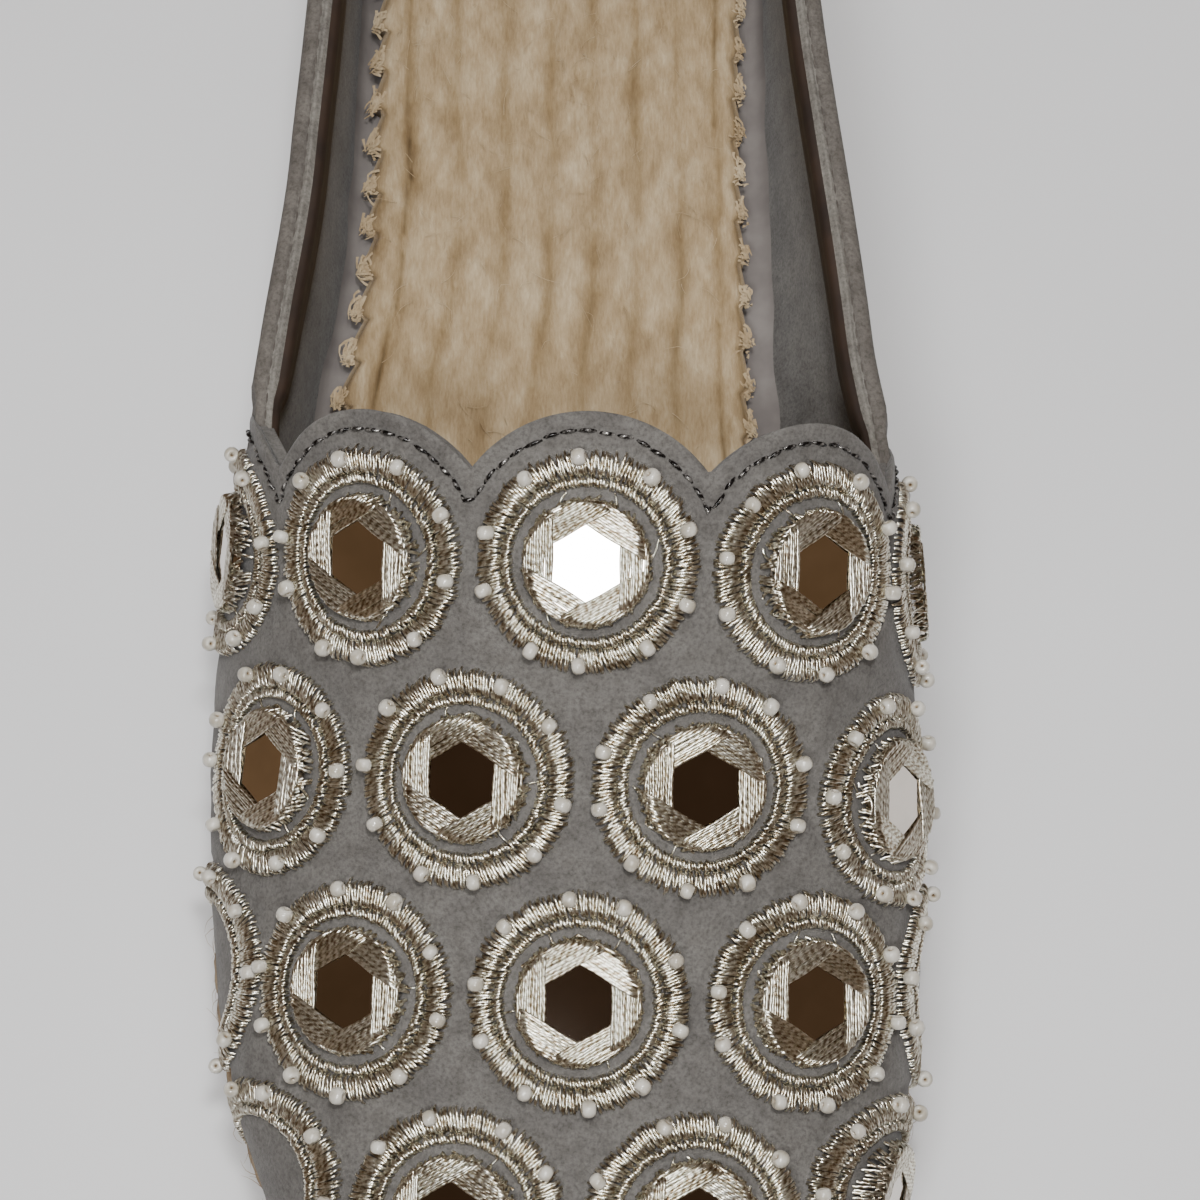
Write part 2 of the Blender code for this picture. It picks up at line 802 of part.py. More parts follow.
def front_line(vamp):
    """A point of the plane that ends the collar in front, and the way up that plane in the side view."""
    here = throat_distance(vamp.crest) + SCALLOP_RADIUS - FRONT_PLANE_SETBACK
    point, along = walk(vamp.crest, here, 0.0)
    up = Vector((0.0, -along.z, along.y))
    if up.z < 0:
        up = -up
    return point, Vector((0.0, up.y, up.z)).normalized()


def on_front_line(point, up, z):
    return point.y + up.y / up.z * (z - point.z)


def build_upper(vamp, places, material):
    """Form, raised vamp, hollow, collar and underside, cut one after another."""
    point, up = front_line(vamp)
    upper = blob("upper", 0.0, FEATHER)

    raised = blob("raised_vamp", OVERLAY, FEATHER + OVERLAY_STEP_UP)
    low, high = -REACH, REACH
    region = prism("vamp_region", [
        (on_front_line(point, up, low) + OVERLAY_HEM, low),
        (on_front_line(point, up, high) + OVERLAY_HEM, high),
        (-LENGTH, high),
        (-LENGTH, low),
    ])
    first_row = [place for place in places if place.row == 0]
    for place in first_row:
        combine(region, scallop_tool(place, SCALLOP_RADIUS + OVERLAY_HEM), "UNION")
    combine(raised, region, "INTERSECT")
    combine(upper, raised, "UNION")

    corner_along = along_of(on_front_line(point, up, topline_z(THROAT_ALONG)))
    behind = station_y(COLLAR_START, 0.0)
    collar = [(behind, REACH), (behind, topline_z(COLLAR_START))]
    for k in range(COLLAR_STEPS + 1):
        share = corner_along * k / COLLAR_STEPS
        collar.append((station_y(share, 0.0), topline_z(share)))
    collar.append((on_front_line(point, up, REACH), REACH))
    opening = prism("collar_cutter", collar)
    for place in first_row:
        combine(opening, scallop_tool(place, SCALLOP_RADIUS), "DIFFERENCE")
    combine(upper, opening, "DIFFERENCE")
    combine(upper, blob("hollow", -WALL, FEATHER + WALL), "DIFFERENCE")

    inset = -(LASTING_MARGIN + FOOT_INSET)
    under = add_object("under_cutter", slab([(inset, FEATHER - WALL), (inset, FEATHER + 2.0 * WALL)]))
    combine(upper, under, "DIFFERENCE")

    upper.name = "upper"
    upper.data.materials.clear()
    upper.data.materials.append(material)
    bm = bmesh.new()
    bm.from_mesh(upper.data)
    bmesh.ops.remove_doubles(bm, verts=bm.verts, dist=WELD)
    bmesh.ops.dissolve_degenerate(bm, edges=bm.edges, dist=WELD)
    settle_mesh(bm)
    bm.to_mesh(upper.data)
    bm.free()
    shade(upper, 40)
    return upper


# Binding

def topline_stations(places, side):
    """Shares of the length from the heel to where the first row's scallops cover the topline."""
    first_row = [place for place in places if place.row == 0]
    clear = SCALLOP_RADIUS + OVERLAY_HEM + GAP
    thick = BINDING_THICKNESS + BINDING_CLEARANCE
    last = 0.0
    for k in range(TOPLINE_CHECKS):
        share = THROAT_ALONG * k / TOPLINE_CHECKS
        levels = wall_levels(share, side, thick) + wall_levels(share, side, -WALL - thick)
        if any(within(place, point, clear) for place in first_row for point in levels):
            break
        last = share
    return [last * (1.0 - math.cos(0.5 * math.pi * k / BINDING_STEPS)) for k in range(BINDING_STEPS + 1)]


def within(place, point, radius):
    offset = point - place.centre
    depth = offset.dot(place.normal)
    if abs(depth) > CUTTER_DEPTH:
        return False
    return (offset - place.normal * depth).length < radius


def build_binding(places, material):
    """A folded strip astride the collar's edge: outside leg, round top and inside leg."""
    outer = [(share, -1) for share in reversed(topline_stations(places, -1))]
    inner = [(share, 1) for share in topline_stations(places, 1)[1:]]
    route = outer + inner
    outer_wall = [wall_levels(share, side, 0.0) for share, side in route]
    inner_wall = [wall_levels(share, side, -WALL) for share, side in route]
    bm = bmesh.new()
    rows = []
    for k, (outside, inside) in enumerate(zip(outer_wall, inner_wall)):
        before = outer_wall[max(k - 1, 0)]
        after = outer_wall[min(k + 1, len(outer_wall) - 1)]
        along = after[0] - before[0]
        away = Vector((along.y, -along.x, 0.0)).normalized()
        if away.dot(outside[0] - inside[0]) < 0:
            away = -away
        rows.append(binding_section(outside, inside, away))
    grid = add_grid(bm, rows, closed=True)
    for end in (grid[0], grid[-1]):
        for patch in BINDING_END_FACES:
            bm.faces.new([end[k] for k in patch])
    settle_mesh(bm)
    binding = add_object("binding", bm, material)
    shade(binding, 60)
    return binding


def wall_levels(share, side, grow):
    """Points of the wall at the topline, halfway down the binding and at its foot."""
    section = Section(share, side, grow, FEATHER)
    z = topline_z(share)
    return [section.wall_point(z - depth) for depth in (0.0, 0.5 * BINDING_DEPTH, BINDING_DEPTH)]


# Turns over the binding's crown, from its outside to its inside
CROWN_TURNS = (0.25 * math.pi, 0.5 * math.pi, 0.75 * math.pi)

# Each end of the binding: its outside leg, its crown and its inside leg, as indices into a section's loop
BINDING_END_FACES = (
    (0, 1, 13, 14),
    (1, 2, 12, 13),
    (2, 3, 4, 5, 6, 11, 12),
    (6, 7, 10, 11),
    (7, 8, 9, 10),
)


def binding_section(outer_wall, inner_wall, away):
    """Closed loop of one section: up the outside leg, over the top, down the inside leg and back."""
    top, middle, low = outer_wall
    lift = Vector((0.0, 0.0, 1.0))
    clear = BINDING_CLEARANCE
    thick = BINDING_THICKNESS
    wall = max((outer - inner).dot(away) for outer, inner in zip(outer_wall, inner_wall))
    inside = -(wall + clear)
    outside_leg = [p + away * (clear + thick) for p in (low, middle, top)]
    inside_leg = [p + away * (inside - thick) for p in (top, middle, low)]
    half = 0.5 * wall + clear + thick
    centre = top + away * (clear + thick - half)
    crown = []
    for angle in CROWN_TURNS:
        crown.append(centre + away * (half * math.cos(angle)) + lift * ((clear + thick) * math.sin(angle)))
    channel = [
        low + away * inside,
        middle + away * inside,
        top + away * inside + lift * clear,
        top + away * clear + lift * clear,
        middle + away * clear,
        low + away * clear,
    ]
    return outside_leg + crown + inside_leg + channel


def centre_on_origin():
    """Bring the middle of the whole shoe's plan over the origin, ornaments included."""
    meshes = [obj.data for obj in bpy.data.objects]
    corners = [vert.co for mesh in meshes for vert in mesh.vertices]
    middle_x = 0.5 * (min(co.x for co in corners) + max(co.x for co in corners))
    middle_y = 0.5 * (min(co.y for co in corners) + max(co.y for co in corners))
    for mesh in meshes:
        mesh.transform(Matrix.Translation((-middle_x, -middle_y, 0.0)))


def main():
    for obj in list(bpy.data.objects):
        bpy.data.objects.remove(obj)
    rubber = add_material("rubber", (0.30, 0.22, 0.14), 0.75)
    jute = add_material("jute", (0.42, 0.33, 0.22), 0.95)
    suede = add_material("suede", (0.21, 0.20, 0.185), 0.95)
    strip = add_material("binding", (0.20, 0.19, 0.175), 0.6)
    thread = add_material("embroidery", (0.42, 0.39, 0.30), 0.35)
    glass = add_material("mirror", (0.70, 0.68, 0.64), 0.05, metallic=1.0)

    vamp = Vamp()
    places = ring_places(vamp)
    build_outsole(rubber)
    shade(build_sole(jute), 40)
    shade(build_insole(jute), 40)
    build_upper(vamp, places, suede)
    build_binding(places, strip)
    build_rings(vamp, places, thread, glass)
    centre_on_origin()


main()
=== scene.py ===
"""A right espadrille, dressed: suede upper with mirror rings, jute footbed and braided rope sole.

Lengths are in metres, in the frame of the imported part: the toe at -Y, the heel at +Y, the inner side at +X.
The last's tables and sizes are those of the part, so each finished piece lies where its solid lies.
"""

from __future__ import annotations

import logging
import math
from contextlib import contextmanager
from dataclasses import dataclass
from enum import Enum
from typing import Callable, Iterator, Optional, Sequence

import bpy
import numpy as np
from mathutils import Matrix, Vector
from mathutils.bvhtree import BVHTree


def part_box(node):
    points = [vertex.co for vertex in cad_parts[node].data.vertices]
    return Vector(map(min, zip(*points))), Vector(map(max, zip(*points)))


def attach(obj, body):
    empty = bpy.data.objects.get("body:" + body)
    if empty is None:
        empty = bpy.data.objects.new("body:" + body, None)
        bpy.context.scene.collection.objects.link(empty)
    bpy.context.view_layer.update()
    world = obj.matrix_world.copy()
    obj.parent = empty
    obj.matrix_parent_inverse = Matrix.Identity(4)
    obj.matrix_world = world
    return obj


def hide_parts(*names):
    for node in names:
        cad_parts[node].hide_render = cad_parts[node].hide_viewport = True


LOG = logging.getLogger("espadrille")
MM = 0.001

# Driving sizes of the last and its layers, as in the part
LENGTH = 0.252
BALL_WIDTH = 0.0905
INSTEP_HEIGHT = 0.0507
TOE_SPRING = 0.0045
ARCH_LIFT = 0.0012
HEEL_PITCH = 0.003
HEEL_LEAN = 0.005
HEEL_LEAN_TO = 0.25
OUTSOLE_THICKNESS = 0.003
ROPE_ROUNDS = 3
ROPE_THICKNESS = 0.00525
ROPE_DIP = 0.0015
INSOLE_THICKNESS = 0.0034
WALL = 0.0016
OVERLAY = 0.0010
OVERLAY_HEM = 0.0004
GAP = 0.0003
FOOT_INSET = 0.0010
FOOT_TUCK = 0.0005
LASTING_MARGIN = 0.0085
INSOLE_INSET = 0.0054
BINDING_THICKNESS = 0.0010
BINDING_DEPTH = 0.0050
BINDING_CLEARANCE = 0.00045
RING_OUTER = 0.0130
RING_SPACING = 0.0282
ROW_PITCH = 0.0258
MIRROR_RADIUS = 0.00715
MIRROR_THICKNESS = 0.0010
PATTERN_X = 0.0032
PATTERN_DRIFT = 0.020
SCALLOP_RADIUS = 0.0171
SCALLOP_REACH = 0.0095
THROAT_ALONG = 0.527
FRONT_PLANE_SETBACK = 0.004
SPRING_FROM = 0.72
ARCH_FROM = 0.28
ARCH_TO = 0.52
PITCH_FROM = 0.20
PITCH_TO = 0.60
HEEL_CAP = 0.16
TOE_CAP = 0.27
TOE_DROP = 0.10
HEEL_CAP_POWER = 2.0
TOE_CAP_POWER = 2.05
TOE_DROP_POWER = 2.2
PART_STATIONS = 32

# Points along one stitch
STITCH_POINTS = 6

SOLE_BOTTOM = OUTSOLE_THICKNESS + GAP
SOLE_TOP = SOLE_BOTTOM + ROPE_ROUNDS * ROPE_THICKNESS
FEATHER = SOLE_TOP + GAP
INSOLE_SEAT = FEATHER + WALL + GAP
INSOLE_TOP = INSOLE_SEAT + INSOLE_THICKNESS

# Sole outline: along is a share of LENGTH from the heel, the others are shares of BALL_WIDTH
SOLE_COLUMNS = ("along", "axis", "outer", "inner")
SOLE_TABLE = (
    (0.00, -0.011, 0.343, 0.343),
    (0.15, -0.011, 0.340, 0.340),
    (0.25, -0.017, 0.334, 0.338),
    (0.35, -0.020, 0.338, 0.343),
    (0.45, -0.020, 0.376, 0.347),
    (0.52, -0.017, 0.420, 0.373),
    (0.60, -0.006, 0.470, 0.425),
    (0.68, 0.000, 0.499, 0.470),
    (0.74, 0.006, 0.508, 0.484),
    (0.80, 0.013, 0.505, 0.486),
    (0.87, 0.024, 0.494, 0.478),
    (0.93, 0.033, 0.485, 0.470),
    (1.00, 0.039, 0.453, 0.442),
)

# Sections of the upper: widths are shares of BALL_WIDTH, heights of INSTEP_HEIGHT, round_ is an exponent
LAST_COLUMNS = (
    "along", "swell_outer", "swell_inner", "widest", "crest", "crest_x", "round_outer", "round_inner",
)
LAST_TABLE = (
    (0.000, -0.006, -0.006, 0.32, 1.38, -0.011, 2.20, 2.20),
    (0.150, -0.006, 0.000, 0.36, 1.38, -0.011, 2.40, 2.40),
    (0.250, 0.006, 0.028, 0.43, 1.38, 0.000, 2.80, 2.80),
    (0.375, 0.020, 0.066, 0.47, 1.32, 0.028, 3.00, 3.00),
    (0.450, 0.018, 0.088, 0.39, 1.18, 0.044, 2.50, 2.80),
    (0.527, 0.022, 0.104, 0.24, 1.00, 0.053, 1.95, 2.50),
    (0.589, 0.020, 0.076, 0.10, 0.882, 0.055, 1.75, 2.35),
    (0.639, 0.009, 0.043, 0.06, 0.769, 0.053, 1.75, 2.25),
    (0.689, -0.007, 0.018, 0.06, 0.669, 0.046, 1.80, 2.20),
    (0.739, -0.020, -0.004, 0.06, 0.582, 0.040, 1.85, 2.15),
    (0.789, -0.024, -0.013, 0.06, 0.513, 0.035, 1.90, 2.10),
    (0.839, -0.024, -0.018, 0.06, 0.454, 0.033, 2.00, 2.10),
    (0.889, -0.022, -0.019, 0.07, 0.406, 0.035, 2.10, 2.20),
    (1.000, -0.020, -0.020, 0.08, 0.335, 0.039, 2.30, 2.30),
)

# Topline in the side view: height is a share of INSTEP_HEIGHT above the feather line
TOPLINE_COLUMNS = ("along", "height")
TOPLINE_TABLE = (
    (-0.10, 0.82),
    (0.02, 0.80),
    (0.12, 0.70),
    (0.24, 0.60),
    (0.375, 0.55),
    (0.47, 0.545),
    (0.60, 0.56),
)

# Ring rows from the throat to the toe: steps along the row, and how far the row bows towards the toe
ROWS = (
    {"steps": (-2.0, -1.0, 0.0, 1.0, 2.0), "outer": 0.0005, "inner": 0.0011},
    {"steps": (-1.5, -0.5, 0.5, 1.5), "outer": 0.0004, "inner": 0.0014},
    {"steps": (-2.0, -1.0, 0.0, 1.0, 2.0), "outer": -0.0003, "inner": -0.0001},
    {"steps": (-1.5, -0.5, 0.5, 1.5), "outer": -0.0013, "inner": -0.0010},
    {"steps": (-1.0, 0.0, 1.0), "outer": 0.0016, "inner": 0.0010},
)

Array = np.ndarray
Piece = bpy.types.Object
Socket = bpy.types.NodeSocket
Material = bpy.types.Material


class Side(Enum):
    """The two sides of a section, as signs of x."""

    OUTER = -1.0
    INNER = 1.0


class Table:
    """A short table read along its first column with monotone cubics."""

    def __init__(self, columns: Sequence[str], rows: Sequence[Sequence[float]]) -> None:
        """Keep the columns with their tangents.

        Args:
            columns: Names, the first of them the share of the length.
            rows: The table's rows.
        """
        values = np.array(rows, float)
        self.xs = values[:, 0]
        self.curves = {name: (values[:, k + 1], self.slopes(values[:, k + 1]))
                       for k, name in enumerate(columns[1:])}

    def slopes(self, ys: Array) -> Array:
        """Find the tangents of a monotone cubic.

        Args:
            ys: Values at the table's shares.

        Returns:
            One tangent for each row.
        """
        steps = np.diff(self.xs)
        rises = np.diff(ys) / steps
        found = np.zeros_like(ys)
        found[0], found[-1] = rises[0], rises[-1]
        for k in range(1, len(ys) - 1):
            before, after = rises[k - 1], rises[k]
            if before * after > 0:
                near = 2 * steps[k] + steps[k - 1]
                far = steps[k] + 2 * steps[k - 1]
                found[k] = (near + far) / (near / before + far / after)
        return found

    def read(self, name: str, along: Array) -> Array:
        """Read a column.

        Args:
            name: The column's name.
            along: Shares of the length.

        Returns:
            The column's values there.
        """
        values, tangents = self.curves[name]
        at = np.clip(along, self.xs[0], self.xs[-1])
        k = np.clip(np.searchsorted(self.xs, at) - 1, 0, len(self.xs) - 2)
        step = self.xs[k + 1] - self.xs[k]
        t = (at - self.xs[k]) / step
        start = (2 * t**3 - 3 * t**2 + 1) * values[k] + (t**3 - 2 * t**2 + t) * step * tangents[k]
        end = (3 * t**2 - 2 * t**3) * values[k + 1] + (t**3 - t**2) * step * tangents[k + 1]
        return start + end


def rounded(t: Array, power: float) -> Array:
    """Read a quarter of a superellipse, from 0 at t = 0 to 1 at t = 1."""
    t = np.clip(t, 0.0, 1.0)
    return (1.0 - (1.0 - t) ** power) ** (1.0 / power)


def smooth(t: Array) -> Array:
    """Ease from 0 to 1."""
    t = np.clip(t, 0.0, 1.0)
    return t * t * (3.0 - 2.0 * t)


def unit(vectors: Array) -> Array:
    """Scale vectors to length 1."""
    return vectors / np.maximum(np.linalg.norm(vectors, axis=-1, keepdims=True), 1e-12)


def lengths(path: Array) -> Array:
    """Give the distance along a path to each of its points."""
    return np.concatenate([[0.0], np.cumsum(np.linalg.norm(np.diff(path, axis=0), axis=1))])


def strand_height(phase: Array) -> Array:
    """Read a braid's strands, 1 on a strand and 0 between two, one strand for each whole phase."""
    return (0.5 + 0.5 * np.cos(2.0 * np.pi * phase)) ** 0.7


def cord_height(u: Array) -> Array:
    """Read a round cord's height from its edges at -1 and 1 to its middle at 0."""
    return np.sqrt(np.clip(1.0 - u * u, 0.0, 1.0))


def quarter_turn(runs: Array) -> Array:
    """Turn directions a quarter clockwise, seen from above, and lay them level."""
    return np.stack([runs[:, 1], -runs[:, 0], 0.0 * runs[:, 0]], 1)


def full_turn(count: int) -> Array:
    """Divide a whole turn evenly."""
    return np.linspace(0.0, 2.0 * np.pi, count, endpoint=False)


def bell(distance: Array, width: float) -> Array:
    """Read a soft bump that is 1 at distance 0 and nearly 0 past its width."""
    return np.exp(-((distance / width) ** 2))


def even_shares(count: int) -> Array:
    """Shares of the length, closer together at both ends."""
    return 0.5 - 0.5 * np.cos(np.pi * np.arange(count + 1) / count)


class Last:
    """The shoe's own form: sole outline, sections of the upper and topline."""

    def __init__(self) -> None:
        """Read the three tables."""
        self.sole = Table(SOLE_COLUMNS, SOLE_TABLE)
        self.body = Table(LAST_COLUMNS, LAST_TABLE)
        self.topline = Table(TOPLINE_COLUMNS, TOPLINE_TABLE)

    def ends(self, along: Array) -> Array:
        """Narrow the plan towards the round heel and toe."""
        heel = rounded(along / HEEL_CAP, HEEL_CAP_POWER)
        return heel * rounded((1.0 - along) / TOE_CAP, TOE_CAP_POWER)

    def axis(self, along: Array) -> Array:
        """Give the x of the sole's axis."""
        return self.sole.read("axis", along) * BALL_WIDTH

    def width(self, along: Array, side: Side) -> Array:
        """Give the distance from the axis to the sole's edge, before the round ends."""
        return self.sole.read(side.name.lower(), along) * BALL_WIDTH

    def outline(self, along: Array, side: Side, grow: Array, z: Array) -> Array:
        """Place points on the sole's outline.

        Args:
            along: Shares of the length.
            side: Which edge.
            grow: How far outside the outline.
            z: Heights.

        Returns:
            Points, with x, y and z on the last axis.
        """
        half = (self.width(along, side) + grow) * self.ends(along)
        x = self.axis(along) + side.value * half
        y = (LENGTH + 2.0 * grow) * (0.5 - along)
        return np.stack(np.broadcast_arrays(x, y, z), -1)

    def ring(self, along: Array, grow: float, z: float) -> Array:
        """Lay the whole outline once round."""
        there = self.outline(along, Side.OUTER, grow, z)
        back = self.outline(along[-2:0:-1], Side.INNER, grow, z)
        return np.concatenate([there, back])

    def side_grid(self, along: Array, side: Side, grow: float, low: int, arch: int) -> Array:
        """Lay one side of the upper's form.

        Args:
            along: Shares of the length.
            side: Which side.
            grow: Distance outside the form.
            low: Steps from the foot to the widest height.
            arch: Steps from there to the crest.

        Returns:
            Points of shape (stations, low + arch + 1, 3), from the foot up.
        """
        name = side.name.lower()
        along = along[:, None]
        ends = self.ends(along)
        edge = self.width(along, side)
        wide = edge + self.body.read("swell_" + name, along) * BALL_WIDTH
        foot = np.minimum(edge - FOOT_INSET, wide - FOOT_TUCK)
        drop = rounded((1.0 - along) / TOE_DROP, TOE_DROP_POWER)
        axis = self.axis(along)
        wide_x = axis + side.value * (wide + grow) * ends
        foot_x = axis + side.value * (foot + grow) * ends
        crest_x = axis + (self.body.read("crest_x", along) * BALL_WIDTH - axis) * ends
        crest_z = FEATHER + (self.body.read("crest", along) * INSTEP_HEIGHT + grow) * drop
        widest_z = FEATHER + self.body.read("widest", along) * INSTEP_HEIGHT * drop
        power = self.body.read("round_" + name, along)
        t = np.arange(low)[None, :] / low
        low_x = foot_x + (wide_x - foot_x) * (1.0 - (1.0 - t) ** 2)
        low_z = FEATHER + (widest_z - FEATHER) * t
        turn = np.arange(arch + 1)[None, :] / arch * np.pi / 2.0
        across = np.maximum(np.cos(turn), 0.0) ** (2.0 / power)
        rise = np.sin(turn) ** (2.0 / power)
        arch_x = crest_x + (wide_x - crest_x) * across
        arch_z = widest_z + (crest_z - widest_z) * rise
        x = np.concatenate([low_x, arch_x], 1)
        z = np.concatenate([low_z, arch_z], 1)
        y = np.broadcast_to((LENGTH + 2.0 * grow) * (0.5 - along), x.shape)
        return np.stack([x, y, z], -1)

    def form(self, along: Array, grow: float, low: int, arch: int) -> Array:
        """Lay both sides, from the outer foot over the crest to the inner foot."""
        outer = self.side_grid(along, Side.OUTER, grow, low, arch)
        inner = self.side_grid(along, Side.INNER, grow, low, arch)
        return np.concatenate([outer, inner[:, -2::-1]], 1)

    def wall(self, along: Array, side: Side, grow: float, z: float, low: int = 40, arch: int = 160) -> Array:
        """Find the points of the side wall at a height.

        Args:
            along: Shares of the length.
            side: Which side.
            grow: Distance outside the form.
            z: Height.
            low: Steps from the foot to the widest height.
            arch: Steps from there to the crest.

        Returns:
            One point for each share.
        """
        grid = self.side_grid(along, side, grow, low, arch)
        x = np.array([np.interp(z, column[:, 2], column[:, 0]) for column in grid])
        return np.stack([x, grid[:, 0, 1], np.full(len(x), z)], 1)

    def topline_z(self, along: Array) -> Array:
        """Give the collar's height."""
        return FEATHER + self.topline.read("height", along) * INSTEP_HEIGHT


LAST = Last()


def settle(points: Array) -> Array:
    """Give points of the straight last their toe spring, arch, heel pitch, heel lean and place in the frame.

    Args:
        points: Points of the straight last.

    Returns:
        Points of the standing shoe.
    """
    x, y, z = points[..., 0], points[..., 1], points[..., 2]
    along = 0.5 - y / LENGTH
    above = np.maximum(0.0, (z - FEATHER) / INSTEP_HEIGHT)
    y = y - HEEL_LEAN * above**2 * np.maximum(0.0, 1.0 - along / HEEL_LEAN_TO) ** 2
    through = np.clip((z - OUTSOLE_THICKNESS) / (SOLE_TOP - OUTSOLE_THICKNESS), 0.0, 1.0)
    lift = HEEL_PITCH * (1.0 - smooth((along - PITCH_FROM) / (PITCH_TO - PITCH_FROM))) * through
    waist = np.clip((along - ARCH_FROM) / (ARCH_TO - ARCH_FROM), 0.0, 1.0)
    lift = lift + ARCH_LIFT * np.sin(np.pi * waist) ** 2
    spring = np.maximum(0.0, (along - SPRING_FROM) / (1.0 - SPRING_FROM))
    return np.stack([x, y, z + lift + TOE_SPRING * spring**2], -1) + FRAME_SHIFT


def frame_shift() -> Array:
    """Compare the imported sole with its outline, to find how the part was centred.

    Returns:
        The shift from the last's own origin to the frame's.
    """
    low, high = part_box("sole")
    shares = even_shares(PART_STATIONS)
    edges = [LAST.outline(shares, side, 0.0, 0.0)[:, 0] for side in Side]
    middle = 0.5 * (min(edge.min() for edge in edges) + max(edge.max() for edge in edges))
    return np.array([0.5 * (low.x + high.x) - middle, 0.5 * (low.y + high.y), 0.0])


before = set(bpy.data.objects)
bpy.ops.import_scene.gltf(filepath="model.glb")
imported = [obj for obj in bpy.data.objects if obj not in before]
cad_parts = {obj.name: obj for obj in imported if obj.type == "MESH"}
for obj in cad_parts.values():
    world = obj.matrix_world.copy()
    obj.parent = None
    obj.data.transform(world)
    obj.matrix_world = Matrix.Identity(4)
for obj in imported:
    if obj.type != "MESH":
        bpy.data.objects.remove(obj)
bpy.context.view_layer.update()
FRAME_SHIFT = frame_shift()


class Slot(Enum):
    """The record's material slots."""

    SOLE = "sole_jute"
    INSOLE = "insole_jute"
    UPPER = "upper_suede"
    BINDING = "binding_suede"
    EMBROIDERY = "embroidery"
    BEADS = "bead_pearl"


# Shaders

Colour = tuple[float, float, float]
WHITE: Colour = (1.0, 1.0, 1.0)


def linear(red: int, green: int, blue: int) -> Colour:
    """Turn a colour of 0 to 255 as seen on a screen into the light that it stands for."""
    parts = [value / 255.0 for value in (red, green, blue)]
    return tuple(v / 12.92 if v <= 0.04045 else ((v + 0.055) / 1.055) ** 2.4 for v in parts)


class Shader:
    """A Principled material with helpers that add the nodes of its patterns."""

    def __init__(self, name: str, **sockets: float) -> None:
        """Start a material.

        Args:
            name: The material's name.
            **sockets: Values of the shader's own sockets, with _ for a space.
        """
        self.material = bpy.data.materials.new(name)
        self.material.use_nodes = True
        self.tree = self.material.node_tree
        self.shader = self.tree.nodes["Principled BSDF"]
        self.coords = self.tree.nodes.new("ShaderNodeTexCoord").outputs["Object"]
        for socket, value in sockets.items():
            self.shader.inputs[socket.replace("_", " ")].default_value = value

    def join(self, source: Socket | float, target: Socket) -> None:
        """Link one socket to another, or give it a value."""
        if isinstance(source, float):
            target.default_value = source
        else:
            self.tree.links.new(source, target)

    def noise(self, size: float, detail: float = 3.0, roughness: float = 0.55,
              stretch: Optional[tuple[float, float, float]] = None) -> Socket:
        """Add a noise pattern.

        Args:
            size: Size of its blotches.
            detail: Levels of finer noise.
            roughness: Strength of the finer levels.
            stretch: Scale along each axis, larger for a finer pattern that way.

        Returns:
            The noise's value, about 0.3 to 0.7.
        """
        node = self.tree.nodes.new("ShaderNodeTexNoise")
        for socket, value in (("Scale", 1.0 / size), ("Detail", detail), ("Roughness", roughness)):
            self.join(value, node.inputs[socket])
        source = self.coords
        if stretch:
            scaled = self.tree.nodes.new("ShaderNodeMapping")
            scaled.inputs["Scale"].default_value = stretch
            self.join(self.coords, scaled.inputs["Vector"])
            source = scaled.outputs["Vector"]
        self.join(source, node.inputs["Vector"])
        return node.outputs["Fac"]

    def attribute(self, name: str) -> Socket:
        """Read a value that the mesh carries at its points."""
        node = self.tree.nodes.new("ShaderNodeAttribute")
        node.attribute_name = name
        return node.outputs["Fac"]

    def ramp(self, value: Socket, stops: Sequence[tuple[float, Colour]]) -> Socket:
        """Colour a value.

        Args:
            value: The value to colour.
            stops: Places from 0 to 1 with their colours.

        Returns:
            The colour.
        """
        node = self.tree.nodes.new("ShaderNodeValToRGB")
        elements = node.color_ramp.elements
        while len(elements) < len(stops):
            elements.new(0.5)
        for element, (place, colour) in zip(elements, stops):
            element.position = place
            element.color = (*colour, 1.0)
        self.join(value, node.inputs["Fac"])
        return node.outputs["Color"]

    def mix(self, factor: Socket | float, first: Socket, second: Socket, kind: str = "MIX") -> Socket:
        """Blend two colours by a factor."""
        node = self.tree.nodes.new("ShaderNodeMix")
        node.data_type = "RGBA"
        node.blend_type = kind
        for source, socket in ((factor, "Factor"), (first, "A"), (second, "B")):
            self.join(source, node.inputs[socket])
        return node.outputs["Result"]

    def math(self, operation: str, first: Socket, second: Socket | float) -> Socket:
        """Combine two values."""
        node = self.tree.nodes.new("ShaderNodeMath")
        node.operation = operation
        self.join(first, node.inputs[0])
        self.join(second, node.inputs[1])
        return node.outputs[0]

    def colour(self, source: Socket) -> None:
        """Use a colour as the base colour."""
        self.join(source, self.shader.inputs["Base Color"])

    def bump(self, height: Socket, depth: float, strength: float = 1.0) -> None:
        """Use a value as fine relief of a depth in metres."""
        node = self.tree.nodes.new("ShaderNodeBump")
        for source, socket in ((depth, "Distance"), (strength, "Strength"), (height, "Height")):
            self.join(source, node.inputs[socket])
        self.join(node.outputs["Normal"], self.shader.inputs["Normal"])


